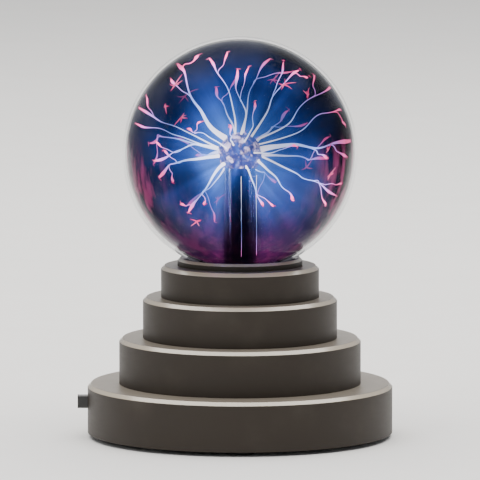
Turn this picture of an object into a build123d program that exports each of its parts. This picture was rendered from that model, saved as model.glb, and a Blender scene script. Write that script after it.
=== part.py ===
from build123d import *
import os
from math import radians, sqrt, tan

os.makedirs("parts", exist_ok=True)

# A mini plasma ball: a sealed gas-filled glass globe with a small central electrode, seated on a
# round base of four tiers that holds the high-voltage board, a slide switch and a USB socket.
# +Z is up, -Y is the front, the switch is on the -X side and the socket is at the +Y back.
# The origin is on the globe's axis, in the plane that the rubber feet stand on.

# ---- Driving sizes in millimetres ----

# Base tiers, from the bottom one up
TIER_DIAMETERS = (98.8, 78.3, 62.9, 51.2)
TIER_HEIGHTS = (16.0, 14.8, 13.3, 10.3)
TIER_BEVEL = 1.2
BEVEL_ROUND = 0.3
SHELL_WALL = 2.2

# Bottom cover, its screws and the feet
FOOT_DIAMETER = 9.6
FOOT_LIFT = 1.5
FOOT_SUNK = 0.5
FOOT_ROUND = 0.4
FOOT_EDGE_GAP = 2.4
FOOT_COUNT = 4
COVER_THICKNESS = 2.2
COVER_GAP = 0.2
COVER_SCREW_COUNT = 4
SCREW_PAD_HEIGHT = 1.2
BOSS_RADIUS = 3.2
BOSS_WALL_GAP = 0.4
RIB_THICKNESS = 1.4
VENT_LENGTH = 16.0
VENT_WIDTH = 1.8
VENT_PITCH = 5.0
VENT_COUNT = 5

# Self-tapping screws
SCREW_RADIUS = 1.25
SCREW_HEAD_RADIUS = 2.5
SCREW_HEAD_HEIGHT = 1.5
SCREW_HEAD_ROUND = 0.5
SCREW_SLOT = 0.7
SCREW_SLOT_DEPTH = 0.9
COVER_SCREW_LENGTH = 9.0
BOARD_SCREW_LENGTH = 3.4
SCREW_GAP = 0.1

# Glass globe and its seat on the base
GLOBE_DIAMETER = 76.0
GLOBE_WALL = 1.2
NECK_RADIUS = 13.0
NECK_WALL = 1.4
NECK_DEPTH = 12.0
NECK_BLEND = 1.5
NECK_ROOM = 4.0
SEAT_RADIUS = 17.8
COLLAR_HEIGHT = 2.4
COLLAR_LIP = 2.4
COLLAR_BEVEL = 0.8
COLLAR_SPIGOT_DEPTH = 4.4
COLLAR_BORE = 14.4
COLLAR_GAP = 0.15
GASKET_THICKNESS = 0.4
GASKET_EDGE_GAP = 0.2
SKIRT_WALL = 1.8
SKIRT_DEPTH = 10.0
ADHESIVE_HEIGHT = 4.2
ADHESIVE_EDGE_GAP = 0.8

# Re-entrant stem with the electrode at the globe's centre
STEM_RADIUS = 5.0
STEM_WALL = 1.0
STEM_SEAL_THICKNESS = 1.4
STEM_FLARE = 3.0
BULB_RADIUS = 6.3
BULB_WALL = 0.9
BULB_BLEND = 2.0
ELECTRODE_GAP = 0.1
ELECTRODE_NECK = 1.5
SLEEVE_RADIUS = 2.8
SLEEVE_TAIL = 1.5
LEAD_RADIUS = 1.2
LEAD_GAP = 0.05
TIP_RADIUS = 1.8
TIP_LENGTH = 5.0
TIP_TAPER = 8.0
TIP_ROUND = 0.6

# Main circuit board
BOARD_LENGTH = 54.0
BOARD_WIDTH = 46.0
BOARD_THICKNESS = 1.6
BOARD_CORNER = 3.0
BOARD_POST_HEIGHT = 4.0
POST_RADIUS = 2.8
POST_INSET = 4.0
BOARD_BOSS_GAP = 0.6

# High-voltage transformer
CORE_LENGTH = 25.0
CORE_DEPTH = 8.0
CORE_HEIGHT = 20.0
CORE_PLATE = 3.5
CORE_LEG = 3.6
CORE_MIDDLE_RADIUS = 3.5
CORE_CHAMFER = 0.4
CORE_FROM_AXIS = 8.0
BOBBIN_WALL = 0.8
BOBBIN_GAP = 0.1
BOBBIN_FLANGE_RADIUS = 8.7
PRIMARY_HEIGHT = 3.6
PRIMARY_RADIUS = 7.6
SECONDARY_RADIUS = 8.4
LEAD_RISE = 4.5

# Transistor on its heatsink
HEATSINK_LENGTH = 22.0
HEATSINK_HEIGHT = 16.0
HEATSINK_PLATE = 2.0
FIN_DEPTH = 4.5
FIN_THICKNESS = 1.0
FIN_COUNT = 5
HEATSINK_FROM_EDGE = 3.0
HEATSINK_OFFSET = -8.0
TAB_WIDTH = 10.0
TAB_HEIGHT = 15.5
TAB_THICKNESS = 1.3
TAB_HOLE_INSET = 3.0
TRANSISTOR_HEIGHT = 9.2
TRANSISTOR_DEPTH = 3.2
TRANSISTOR_CHAMFER = 0.5
LEG_COUNT = 3
LEG_LENGTH = 3.4
LEG_PITCH = 2.54
LEG_WIDTH = 0.8
LEG_THICKNESS = 0.5

# Small components on the board
MAIN_CAN_RADIUS = 5.0
MAIN_CAN_HEIGHT = 16.0
MAIN_CAN_PLACE = (-16.0, 10.0)
SMALL_CAN_RADIUS = 3.15
SMALL_CAN_HEIGHT = 11.0
SMALL_CAN_PLACE = (-5.5, 14.5)
CAN_ROUND = 0.5
CAN_GROOVE_RISE = 1.5
CAN_GROOVE_WIDTH = 1.0
CAN_GROOVE_DEPTH = 0.5
FILM_LENGTH = 10.0
FILM_DEPTH = 5.0
FILM_HEIGHT = 9.0
FILM_CORNER = 0.8
FILM_ROUND = 0.6
FILM_PLACE = (15.0, 14.5)
RESISTOR_RADIUS = 1.2
RESISTOR_LENGTH = 6.4
RESISTOR_PLACES = ((14.0, -10.5), (14.0, -14.0), (14.0, -17.5))
DIODE_RADIUS = 1.35
DIODE_LENGTH = 5.0
DIODE_PLACE = (4.5, 19.0)
AXIAL_LEAD_RADIUS = 0.35
AXIAL_ROUND = 0.4
AXIAL_LIFT = 0.4
AXIAL_LEAD_BEND = 0.7
AXIAL_LEAD_REACH = 2.4

# USB socket on its own small board
USB_BOARD_LENGTH = 12.0
USB_BOARD_WIDTH = 17.0
USB_BOARD_THICKNESS = 1.2
USB_WIDTH = 7.6
USB_HEIGHT = 2.7
USB_LENGTH = 5.6
USB_SHELL_WALL = 0.3
USB_CHAMFER = 0.8
USB_OVERHANG = 0.6
USB_SETBACK = 1.6
USB_POST_SPREAD = 5.4
USB_POST_INSET = 3.0
TONGUE_WIDTH = 4.6
TONGUE_HEIGHT = 0.7
TONGUE_LENGTH = 3.4
TONGUE_BLOCK = 1.2
PLUG_OPENING_WIDTH = 12.4
PLUG_OPENING_HEIGHT = 8.0
PLUG_OPENING_CORNER = 1.6

# Slide switch
SWITCH_TRAVEL = 4.0
KNOB_LENGTH = 4.4
KNOB_HEIGHT = 4.0
KNOB_REACH = 3.2
KNOB_ROUND = 0.4
KNOB_SLOT_GAP = 0.5
KNOB_FOOT_LENGTH = 6.4
KNOB_FOOT_HEIGHT = 5.4
KNOB_FOOT_THICKNESS = 2.0
GRIP_GROOVE_WIDTH = 0.5
GRIP_GROOVE_DEPTH = 0.4
GRIP_GROOVE_PITCH = 1.1
GRIP_GROOVE_COUNT = 3
FRAME_EAR = 2.5
FRAME_HEIGHT = 7.0
FRAME_THICKNESS = 0.5
FRAME_INSET = 2.0
CAN_DEPTH = 5.5
SWITCH_BASE_THICKNESS = 1.3
SLIDE_GAP = 0.3
BRIDGE_THICKNESS = 0.3
BRIDGE_WIDTH = 2.0
DIMPLE_RADIUS = 0.5
DIMPLE_HEIGHT = 0.4
DIMPLE_COUNT = 2
TERMINAL_PITCH = 3.2
TERMINAL_COUNT = 3
TERMINAL_WIDTH = 1.6
TERMINAL_THICKNESS = 0.5
TERMINAL_LENGTH = 3.2
CONTACT_HEAD_HEIGHT = 0.4
RAIL_WIDTH = 2.4
RAIL_GRIP = 1.0
RAIL_BACK = 1.2
RAIL_GAP = 0.1
SUPPORT_LENGTH = 8.0
SUPPORT_THICKNESS = 2.0

# Hook-up wires
WIRE_RADIUS = 0.6
WIRE_RISE = 3.6
WIRE_PAD_SPREAD = 1.8
WIRE_PAD_INSET = 1.4
WIRE_EDGE_GAP = 4.0
WIRE_CORNER_CUT = 5.0
WIRE_APPROACH = 7.0
TERMINAL_RUN = 4.2
SWITCH_PAD_OFFSET = 3.0
BEND_SHARE = 0.45

# Shared by the cuts and by the search for corners
CUT_OVERRUN = 1.0
SAME_PLACE = 0.001

# ---- Sizes that follow from them ----

tier_radii = [diameter / 2 for diameter in TIER_DIAMETERS]
tier_tops = [FOOT_LIFT + sum(TIER_HEIGHTS[: index + 1]) for index in range(len(TIER_HEIGHTS))]
inner_radii = [radius - SHELL_WALL for radius in tier_radii]
ceilings = [top - SHELL_WALL for top in tier_tops]
base_top = tier_tops[-1]
bottom_outer = tier_radii[0]
bottom_inner = inner_radii[0]
bottom_ceiling = ceilings[0]

cover_top = FOOT_LIFT + COVER_THICKNESS
screw_pad_top = cover_top + SCREW_PAD_HEIGHT
screw_circle = bottom_inner - BOSS_WALL_GAP - BOSS_RADIUS
foot_circle = bottom_inner - COVER_GAP - FOOT_EDGE_GAP - FOOT_DIAMETER / 2

opening_radius = NECK_RADIUS + NECK_ROOM
skirt_bottom = base_top - SKIRT_DEPTH
globe_radius = GLOBE_DIAMETER / 2
globe_center = base_top + COLLAR_HEIGHT + sqrt(globe_radius**2 - SEAT_RADIUS**2)
neck_bottom = base_top - NECK_DEPTH
seal_bottom = neck_bottom - STEM_SEAL_THICKNESS
electrode_radius = BULB_RADIUS - BULB_WALL - ELECTRODE_GAP
electrode_foot = globe_center - electrode_radius - ELECTRODE_NECK

board_bottom = cover_top + BOARD_POST_HEIGHT
board_top = board_bottom + BOARD_THICKNESS
post_places = [
    (side * (BOARD_LENGTH / 2 - POST_INSET), end * (BOARD_WIDTH / 2 - POST_INSET))
    for side in (-1, 1)
    for end in (-1, 1)
]

usb_axis = (cover_top + bottom_ceiling) / 2
usb_mouth = bottom_inner - USB_SETBACK
usb_board_top = usb_axis - USB_HEIGHT / 2
usb_board_bottom = usb_board_top - USB_BOARD_THICKNESS
usb_board_back = usb_mouth - USB_OVERHANG
usb_board_front = usb_board_back - USB_BOARD_LENGTH
usb_post_places = [
    (side * USB_POST_SPREAD, usb_board_front + USB_POST_INSET) for side in (-1, 1)
]

can_room_length = KNOB_FOOT_LENGTH + SWITCH_TRAVEL + 2 * SLIDE_GAP
can_length = can_room_length + 2 * FRAME_THICKNESS
frame_length = can_length + 2 * FRAME_EAR
frame_face = -(bottom_inner - FRAME_INSET)
frame_back = frame_face + FRAME_THICKNESS
can_back = frame_face + CAN_DEPTH
switch_base_face = can_back - SWITCH_BASE_THICKNESS
frame_top = bottom_ceiling - 2 * RAIL_GAP
switch_axis = frame_top - FRAME_HEIGHT / 2
frame_bottom = frame_top - FRAME_HEIGHT
knob_tip = -(bottom_outer + KNOB_REACH)
knob_foot_face = frame_back + SLIDE_GAP
knob_foot_back = knob_foot_face + KNOB_FOOT_THICKNESS
knob_rest = -SWITCH_TRAVEL / 2
terminal_tip = can_back + TERMINAL_LENGTH


def screws(places, head_bottom, length, points_up):
    """Pan-head screws with a cross slot at the given places, all pointing up or all down."""
    direction = 1 if points_up else -1
    head_plane = Plane((0, 0, head_bottom), x_dir=(1, 0, 0), z_dir=(0, 0, direction))
    with BuildPart() as group:
        with BuildSketch(head_plane):
            with Locations(*[(x, y * direction) for x, y in places]):
                Circle(SCREW_HEAD_RADIUS)
        extrude(amount=SCREW_HEAD_HEIGHT)
        outer_rims = group.edges().filter_by(GeomType.CIRCLE).group_by(Axis.Z)[0 if points_up else -1]
        fillet(outer_rims, radius=SCREW_HEAD_ROUND)
        with BuildSketch(head_plane.offset(SCREW_HEAD_HEIGHT)):
            with Locations(*[(x, y * direction) for x, y in places]):
                Circle(SCREW_RADIUS)
        extrude(amount=length)
        with BuildSketch(head_plane):
            with Locations(*[(x, y * direction) for x, y in places]):
                Rectangle(2 * SCREW_RADIUS, SCREW_SLOT)
                Rectangle(SCREW_SLOT, 2 * SCREW_RADIUS)
        extrude(amount=SCREW_SLOT_DEPTH, mode=Mode.SUBTRACT)
    return group.part


def bend_radii(points):
    """The largest easy bend at each corner of a wire's route."""
    radii = []
    for before, corner, after in zip(points, points[1:], points[2:]):
        run_in = Vector(*corner) - Vector(*before)
        run_out = Vector(*after) - Vector(*corner)
        half_turn = radians(run_in.get_angle(run_out) / 2)
        radii.append(BEND_SHARE * min(run_in.length, run_out.length) / tan(half_turn))
    return radii


def wire_start(points):
    """The plane square to the first run of a wire's route."""
    return Plane(points[0], z_dir=Vector(*points[1]) - Vector(*points[0]))


# ---- Base housing: one black moulding of four stacked round tiers, open at the bottom ----

bevel_corners = []
outer_line = [(bottom_outer, FOOT_LIFT)]
for radius, top, next_radius in zip(tier_radii, tier_tops, tier_radii[1:] + [opening_radius]):
    bevel_corners += [(radius, top - TIER_BEVEL), (radius - TIER_BEVEL, top)]
    outer_line += [(radius, top - TIER_BEVEL), (radius - TIER_BEVEL, top), (next_radius, top)]

skirt_outer = opening_radius + SKIRT_WALL
inner_line = [(opening_radius, skirt_bottom), (skirt_outer, skirt_bottom), (skirt_outer, ceilings[-1])]
for index in reversed(range(len(inner_radii))):
    inner_line.append((inner_radii[index], ceilings[index]))
    if index > 0:
        inner_line.append((inner_radii[index], ceilings[index - 1]))
inner_line.append((bottom_inner, FOOT_LIFT))

with BuildPart() as base_housing:
    with BuildSketch(Plane.XZ) as housing_profile:
        with BuildLine():
            Polyline(*outer_line, *inner_line, close=True)
        make_face()
        bevel_vertices = [
            vertex
            for vertex in housing_profile.vertices()
            if any(abs(vertex.X - x) + abs(vertex.Y - z) < SAME_PLACE for x, z in bevel_corners)
        ]
        fillet(bevel_vertices, radius=BEVEL_ROUND)
    revolve(axis=Axis.Z)

    # Screw bosses under the bottom tier's roof, each tied to the wall by a rib
    rib_reach = bottom_inner + SHELL_WALL / 2 - screw_circle
    with BuildSketch(Plane.XY.offset(screw_pad_top)):
        with PolarLocations(screw_circle, COVER_SCREW_COUNT, start_angle=45):
            Circle(BOSS_RADIUS)
            Rectangle(rib_reach, RIB_THICKNESS, align=(Align.MIN, Align.CENTER))
    extrude(amount=bottom_ceiling + SHELL_WALL / 2 - screw_pad_top)
    with BuildSketch(Plane.XY.offset(screw_pad_top)):
        with PolarLocations(screw_circle, COVER_SCREW_COUNT, start_angle=45):
            Circle(SCREW_RADIUS)
    extrude(amount=COVER_SCREW_LENGTH, mode=Mode.SUBTRACT)

    # Rails that hold the ends of the switch frame, slotted from below
    rail_inner = frame_length / 2 - RAIL_GRIP
    rail_depth = FRAME_INSET + FRAME_THICKNESS + RAIL_BACK + SHELL_WALL / 2
    with BuildSketch(Plane.XY.offset(frame_bottom)):
        for side in (-1, 1):
            with Locations((-(bottom_inner + SHELL_WALL / 2), side * (rail_inner + RAIL_WIDTH / 2))):
                Rectangle(rail_depth, RAIL_WIDTH, align=(Align.MIN, Align.CENTER))
    extrude(amount=bottom_ceiling + SHELL_WALL / 2 - frame_bottom)
    with BuildSketch(Plane.XY.offset(frame_bottom)):
        with Locations((frame_face + FRAME_THICKNESS / 2, 0)):
            Rectangle(FRAME_THICKNESS + 2 * RAIL_GAP, frame_length + 2 * RAIL_GAP)
    extrude(amount=FRAME_HEIGHT + RAIL_GAP, mode=Mode.SUBTRACT)

    # Slot for the switch knob through the -X wall
    with BuildSketch(Plane.YZ.offset(-bottom_outer - CUT_OVERRUN)):
        with Locations((0, switch_axis)):
            RectangleRounded(
                KNOB_LENGTH + SWITCH_TRAVEL + 2 * KNOB_SLOT_GAP,
                KNOB_HEIGHT + 2 * KNOB_SLOT_GAP,
                KNOB_ROUND,
            )
    extrude(amount=SHELL_WALL + 2 * CUT_OVERRUN, mode=Mode.SUBTRACT)

    # Opening for the moulded end of the USB lead through the back wall
    with BuildSketch(Plane.XZ.offset(-bottom_outer - CUT_OVERRUN)):
        with Locations((0, usb_axis)):
            RectangleRounded(PLUG_OPENING_WIDTH, PLUG_OPENING_HEIGHT, PLUG_OPENING_CORNER)
    extrude(amount=SHELL_WALL + 2 * CUT_OVERRUN, mode=Mode.SUBTRACT)
base_housing.part.label = "base_housing"
export_step(base_housing.part, "parts/base_housing.step")

# ---- Bottom cover: a disc with vents, foot wells, screw pads and posts for the boards ----

with BuildPart() as bottom_cover:
    with BuildSketch(Plane.XY.offset(FOOT_LIFT)):
        Circle(bottom_inner - COVER_GAP)
    extrude(amount=COVER_THICKNESS)
    with BuildSketch(Plane.XY.offset(cover_top)):
        with PolarLocations(screw_circle, COVER_SCREW_COUNT, start_angle=45):
            Circle(BOSS_RADIUS)
    extrude(amount=SCREW_PAD_HEIGHT)
    with BuildSketch(Plane.XY.offset(cover_top)):
        with Locations(*post_places):
            Circle(POST_RADIUS)
    extrude(amount=BOARD_POST_HEIGHT)
    with BuildSketch(Plane.XY.offset(cover_top)):
        with Locations(*usb_post_places):
            Circle(POST_RADIUS)
    extrude(amount=usb_board_bottom - cover_top)

    # Rest that keeps the switch frame up in its rails
    with BuildSketch(Plane.XY.offset(cover_top)):
        with Locations((frame_face + CAN_DEPTH / 2, 0)):
            Rectangle(SUPPORT_THICKNESS, SUPPORT_LENGTH)
    extrude(amount=frame_bottom - cover_top)

    # Cover screw holes with their counterbores underneath
    with BuildSketch(Plane.XY.offset(FOOT_LIFT)):
        with PolarLocations(screw_circle, COVER_SCREW_COUNT, start_angle=45):
            Circle(SCREW_RADIUS + SCREW_GAP)
    extrude(amount=COVER_THICKNESS + SCREW_PAD_HEIGHT, mode=Mode.SUBTRACT)
    with BuildSketch(Plane.XY.offset(FOOT_LIFT)):
        with PolarLocations(screw_circle, COVER_SCREW_COUNT, start_angle=45):
            Circle(SCREW_HEAD_RADIUS + SCREW_GAP)
    extrude(amount=SCREW_HEAD_HEIGHT + SCREW_GAP, mode=Mode.SUBTRACT)

    # Pilot holes down the board posts
    with BuildSketch(Plane.XY.offset(board_bottom)):
        with Locations(*post_places):
            Circle(SCREW_RADIUS)
    extrude(amount=-BOARD_SCREW_LENGTH, mode=Mode.SUBTRACT)
    with BuildSketch(Plane.XY.offset(usb_board_bottom)):
        with Locations(*usb_post_places):
            Circle(SCREW_RADIUS)
    extrude(amount=-BOARD_SCREW_LENGTH, mode=Mode.SUBTRACT)

    # Wells for the feet and a row of vent slots
    with BuildSketch(Plane.XY.offset(FOOT_LIFT)):
        with PolarLocations(foot_circle, FOOT_COUNT):
            Circle(FOOT_DIAMETER / 2)
    extrude(amount=FOOT_SUNK, mode=Mode.SUBTRACT)
    with BuildSketch(Plane.XY.offset(FOOT_LIFT)):
        with GridLocations(VENT_PITCH, 0, VENT_COUNT, 1):
            SlotOverall(VENT_LENGTH, VENT_WIDTH, rotation=90)
    extrude(amount=COVER_THICKNESS, mode=Mode.SUBTRACT)
bottom_cover.part.label = "bottom_cover"
export_step(bottom_cover.part, "parts/bottom_cover.step")

cover_screw_places = [
    (place.position.X, place.position.Y)
    for place in PolarLocations(screw_circle, COVER_SCREW_COUNT, start_angle=45)
]
with BuildPart() as cover_screws:
    head_seat = FOOT_LIFT + SCREW_GAP
    add(screws(cover_screw_places, head_seat, COVER_SCREW_LENGTH, points_up=True))
cover_screws.part.label = "cover_screws"
export_step(cover_screws.part, "parts/cover_screws.step")

# Round rubber pads glued into the wells
with BuildPart() as rubber_feet:
    with BuildSketch(Plane.XY):
        with PolarLocations(foot_circle, FOOT_COUNT):
            Circle(FOOT_DIAMETER / 2)
    extrude(amount=FOOT_LIFT + FOOT_SUNK)
    foot_rims = rubber_feet.edges().filter_by(GeomType.CIRCLE).group_by(Axis.Z)[0]
    fillet(foot_rims, radius=FOOT_ROUND)
rubber_feet.part.label = "rubber_feet"
export_step(rubber_feet.part, "parts/rubber_feet.step")


# ---- Glass globe: a blown ball on a straight neck, hollow and open at the neck's end ----


def ball_on_neck(ball_radius, neck_radius, blend, neck_end):
    """Half outline of a ball at the globe's centre that runs into a round neck below it."""
    with BuildSketch(Plane.XZ) as outline:
        with Locations((0, globe_center)):
            Circle(ball_radius)
        with Locations((0, neck_end)):
            Rectangle(2 * neck_radius, globe_center - neck_end, align=(Align.CENTER, Align.MIN))
        meeting_points = [
            vertex
            for vertex in outline.vertices()
            if abs(abs(vertex.X) - neck_radius) < SAME_PLACE and vertex.Y > neck_end + blend
        ]
        fillet(meeting_points, radius=blend)
        with Locations((0, globe_center)):
            Rectangle(2 * ball_radius, 4 * globe_radius, align=(Align.MIN, Align.CENTER), mode=Mode.INTERSECT)
    return outline.sketch


globe_outside = ball_on_neck(globe_radius, NECK_RADIUS, NECK_BLEND, neck_bottom)
globe_inside = ball_on_neck(
    globe_radius - GLOBE_WALL, NECK_RADIUS - NECK_WALL, NECK_BLEND + GLOBE_WALL, neck_bottom - CUT_OVERRUN
)
with BuildPart() as globe_glass:
    revolve(globe_outside, axis=Axis.Z)
    revolve(globe_inside, axis=Axis.Z, mode=Mode.SUBTRACT)
globe_glass.part.label = "globe_glass"
export_step(globe_glass.part, "parts/globe_glass.step")

# Re-entrant glass stem: a tube sealed to the neck's end, with the electrode bulb at its top
stem_outside = ball_on_neck(BULB_RADIUS, STEM_RADIUS, BULB_BLEND, neck_bottom)
stem_inside = ball_on_neck(
    BULB_RADIUS - BULB_WALL, STEM_RADIUS - STEM_WALL, BULB_BLEND + BULB_WALL, seal_bottom - CUT_OVERRUN
)
with BuildPart() as stem_glass:
    revolve(stem_outside, axis=Axis.Z)
    with BuildSketch(Plane.XY.offset(seal_bottom)):
        Circle(NECK_RADIUS)
    extrude(amount=STEM_SEAL_THICKNESS)
    tube_foot = (
        stem_glass.edges()
        .filter_by(GeomType.CIRCLE)
        .filter_by(lambda edge: abs(edge.radius - STEM_RADIUS) < SAME_PLACE)
        .filter_by(lambda edge: abs(edge.center().Z - neck_bottom) < SAME_PLACE)
    )
    fillet(tube_foot, radius=STEM_FLARE)
    revolve(stem_inside, axis=Axis.Z, mode=Mode.SUBTRACT)
stem_glass.part.label = "stem_glass"
export_step(stem_glass.part, "parts/stem_glass.step")

# Pinched-off pumping tube under the seal
tip_place = (0, -(STEM_RADIUS + NECK_RADIUS) / 2)
with BuildPart() as exhaust_tip:
    with BuildSketch(Plane.XY.offset(seal_bottom)):
        with Locations(tip_place):
            Circle(TIP_RADIUS)
    extrude(amount=-TIP_LENGTH, taper=TIP_TAPER)
    tip_end = exhaust_tip.edges().filter_by(GeomType.CIRCLE).group_by(Axis.Z)[0]
    fillet(tip_end, radius=TIP_ROUND)
exhaust_tip.part.label = "exhaust_tip"
export_step(exhaust_tip.part, "parts/exhaust_tip.step")

# Graphite-coated electrode ball inside the bulb, with a short neck into the stem
with BuildPart() as electrode:
    with Locations((0, 0, globe_center)):
        Sphere(electrode_radius)
    with BuildSketch(Plane.XY.offset(electrode_foot)):
        Circle(SLEEVE_RADIUS)
    extrude(amount=globe_center - electrode_foot)
electrode.part.label = "electrode"
export_step(electrode.part, "parts/electrode.step")

# Black insulating sleeve up the stem, around the lead
with BuildPart() as stem_sleeve:
    with BuildSketch(Plane.XY.offset(seal_bottom - SLEEVE_TAIL)):
        Circle(SLEEVE_RADIUS)
        Circle(LEAD_RADIUS + LEAD_GAP, mode=Mode.SUBTRACT)
    extrude(amount=electrode_foot - seal_bottom + SLEEVE_TAIL)
stem_sleeve.part.label = "stem_sleeve"
export_step(stem_sleeve.part, "parts/stem_sleeve.step")

# ---- Seat: collar, gasket and adhesive around the neck ----

seat_sphere_radius = globe_radius + GASKET_THICKNESS
with BuildPart() as globe_collar:
    with BuildSketch(Plane.XY.offset(base_top)):
        Circle(SEAT_RADIUS + COLLAR_LIP)
        Circle(COLLAR_BORE, mode=Mode.SUBTRACT)
    extrude(amount=COLLAR_HEIGHT)
    collar_rim = globe_collar.edges().group_by(Axis.Z)[-1].sort_by(SortBy.RADIUS)[-1]
    chamfer(collar_rim, length=COLLAR_BEVEL)
    with BuildSketch(Plane.XY.offset(base_top)):
        Circle(opening_radius - COLLAR_GAP)
        Circle(COLLAR_BORE, mode=Mode.SUBTRACT)
    extrude(amount=-COLLAR_SPIGOT_DEPTH)
    with Locations((0, 0, globe_center)):
        Sphere(seat_sphere_radius, mode=Mode.SUBTRACT)
globe_collar.part.label = "globe_collar"
export_step(globe_collar.part, "parts/globe_collar.step")

# Thin silicone ring between the collar's dish and the glass
with BuildPart() as globe_gasket:
    with BuildSketch(Plane.XY.offset(base_top)):
        Circle(SEAT_RADIUS - GASKET_EDGE_GAP)
        Circle(COLLAR_BORE + GASKET_EDGE_GAP, mode=Mode.SUBTRACT)
    extrude(amount=COLLAR_HEIGHT)
    with Locations((0, 0, globe_center)):
        Sphere(seat_sphere_radius, mode=Mode.INTERSECT)
        Sphere(globe_radius, mode=Mode.SUBTRACT)
globe_gasket.part.label = "globe_gasket"
export_step(globe_gasket.part, "parts/globe_gasket.step")

# Cured adhesive that holds the neck inside the housing's skirt
with BuildPart() as neck_adhesive:
    with BuildSketch(Plane.XY.offset(skirt_bottom + ADHESIVE_EDGE_GAP)):
        Circle(opening_radius)
        Circle(NECK_RADIUS, mode=Mode.SUBTRACT)
    extrude(amount=ADHESIVE_HEIGHT)
neck_adhesive.part.label = "neck_adhesive"
export_step(neck_adhesive.part, "parts/neck_adhesive.step")

# ---- Main circuit board and its screws ----

with BuildPart() as circuit_board:
    with BuildSketch(Plane.XY.offset(board_bottom)):
        RectangleRounded(BOARD_LENGTH, BOARD_WIDTH, BOARD_CORNER)
        with PolarLocations(screw_circle, COVER_SCREW_COUNT, start_angle=45):
            Circle(BOSS_RADIUS + BOARD_BOSS_GAP, mode=Mode.SUBTRACT)
        with Locations(*post_places):
            Circle(SCREW_RADIUS + SCREW_GAP, mode=Mode.SUBTRACT)
    extrude(amount=BOARD_THICKNESS)
circuit_board.part.label = "circuit_board"
export_step(circuit_board.part, "parts/circuit_board.step")

with BuildPart() as board_screws:
    screw_length = BOARD_THICKNESS + BOARD_SCREW_LENGTH - SCREW_GAP
    add(screws(post_places, board_top + SCREW_HEAD_HEIGHT, screw_length, points_up=False))
board_screws.part.label = "board_screws"
export_step(board_screws.part, "parts/board_screws.step")

# ---- High-voltage transformer: two ferrite halves, a bobbin and its windings ----

core_places = [
    side * (CORE_LENGTH - CORE_LEG) / 2 + CORE_FROM_AXIS for side in (-1, 1)
]


def core_half(plate_face, direction):
    """One E-shaped ferrite half that grows from its outer plate towards the joint."""
    with BuildPart() as half:
        with BuildSketch(Plane.XY.offset(plate_face)):
            with Locations((CORE_FROM_AXIS, 0)):
                Rectangle(CORE_LENGTH, CORE_DEPTH)
        extrude(amount=direction * CORE_PLATE)
        with BuildSketch(Plane.XY.offset(plate_face)):
            with Locations(*[(x, 0) for x in core_places]):
                Rectangle(CORE_LEG, CORE_DEPTH)
            with Locations((CORE_FROM_AXIS, 0)):
                Circle(CORE_MIDDLE_RADIUS)
        extrude(amount=direction * CORE_HEIGHT / 2)
        chamfer(half.edges().filter_by(Axis.Z), length=CORE_CHAMFER)
    return half.part


with BuildPart() as core_lower:
    add(core_half(board_top, 1))
core_lower.part.label = "core_lower"
export_step(core_lower.part, "parts/core_lower.step")

core_top = board_top + CORE_HEIGHT
with BuildPart() as core_upper:
    add(core_half(core_top, -1))
core_upper.part.label = "core_upper"
export_step(core_upper.part, "parts/core_upper.step")

bobbin_bottom = board_top + CORE_PLATE + BOBBIN_GAP
bobbin_height = CORE_HEIGHT - 2 * CORE_PLATE - 2 * BOBBIN_GAP
primary_bottom = bobbin_bottom + BOBBIN_WALL
secondary_bottom = primary_bottom + PRIMARY_HEIGHT + BOBBIN_WALL
secondary_height = bobbin_bottom + bobbin_height - BOBBIN_WALL - secondary_bottom
bobbin_bore = CORE_MIDDLE_RADIUS + BOBBIN_GAP
bobbin_tube = bobbin_bore + BOBBIN_WALL
flange_bottoms = (bobbin_bottom, primary_bottom + PRIMARY_HEIGHT, secondary_bottom + secondary_height)
with BuildPart() as bobbin:
    with BuildSketch(Plane.XY.offset(bobbin_bottom)):
        with Locations((CORE_FROM_AXIS, 0)):
            Circle(bobbin_tube)
    extrude(amount=bobbin_height)
    for flange_bottom in flange_bottoms:
        with BuildSketch(Plane.XY.offset(flange_bottom)):
            with Locations((CORE_FROM_AXIS, 0)):
                Circle(BOBBIN_FLANGE_RADIUS)
        extrude(amount=BOBBIN_WALL)
    with BuildSketch(Plane.XY.offset(bobbin_bottom)):
        with Locations((CORE_FROM_AXIS, 0)):
            Circle(bobbin_bore)
    extrude(amount=bobbin_height, mode=Mode.SUBTRACT)
bobbin.part.label = "bobbin"
export_step(bobbin.part, "parts/bobbin.step")

with BuildPart() as primary_winding:
    with BuildSketch(Plane.XY.offset(primary_bottom)):
        with Locations((CORE_FROM_AXIS, 0)):
            Circle(PRIMARY_RADIUS)
            Circle(bobbin_tube, mode=Mode.SUBTRACT)
    extrude(amount=PRIMARY_HEIGHT)
primary_winding.part.label = "primary_winding"
export_step(primary_winding.part, "parts/primary_winding.step")

with BuildPart() as secondary_winding:
    with BuildSketch(Plane.XY.offset(secondary_bottom)):
        with Locations((CORE_FROM_AXIS, 0)):
            Circle(SECONDARY_RADIUS)
            Circle(bobbin_tube, mode=Mode.SUBTRACT)
    extrude(amount=secondary_height)
secondary_winding.part.label = "secondary_winding"
export_step(secondary_winding.part, "parts/secondary_winding.step")

# High-voltage lead: from the bobbin's top flange over to the axis and up the stem
flange_top = flange_bottoms[-1] + BOBBIN_WALL
lead_side = BOBBIN_FLANGE_RADIUS - 2 * LEAD_RADIUS
lead_route = [
    (CORE_FROM_AXIS, lead_side, flange_top),
    (CORE_FROM_AXIS, lead_side, core_top + LEAD_RISE),
    (0, 0, seal_bottom - SLEEVE_TAIL - LEAD_RISE),
    (0, 0, electrode_foot),
]
with BuildPart() as high_voltage_lead:
    with BuildLine():
        FilletPolyline(*lead_route, radius=bend_radii(lead_route))
    with BuildSketch(wire_start(lead_route)):
        Circle(LEAD_RADIUS)
    sweep()
high_voltage_lead.part.label = "high_voltage_lead"
export_step(high_voltage_lead.part, "parts/high_voltage_lead.step")

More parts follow.
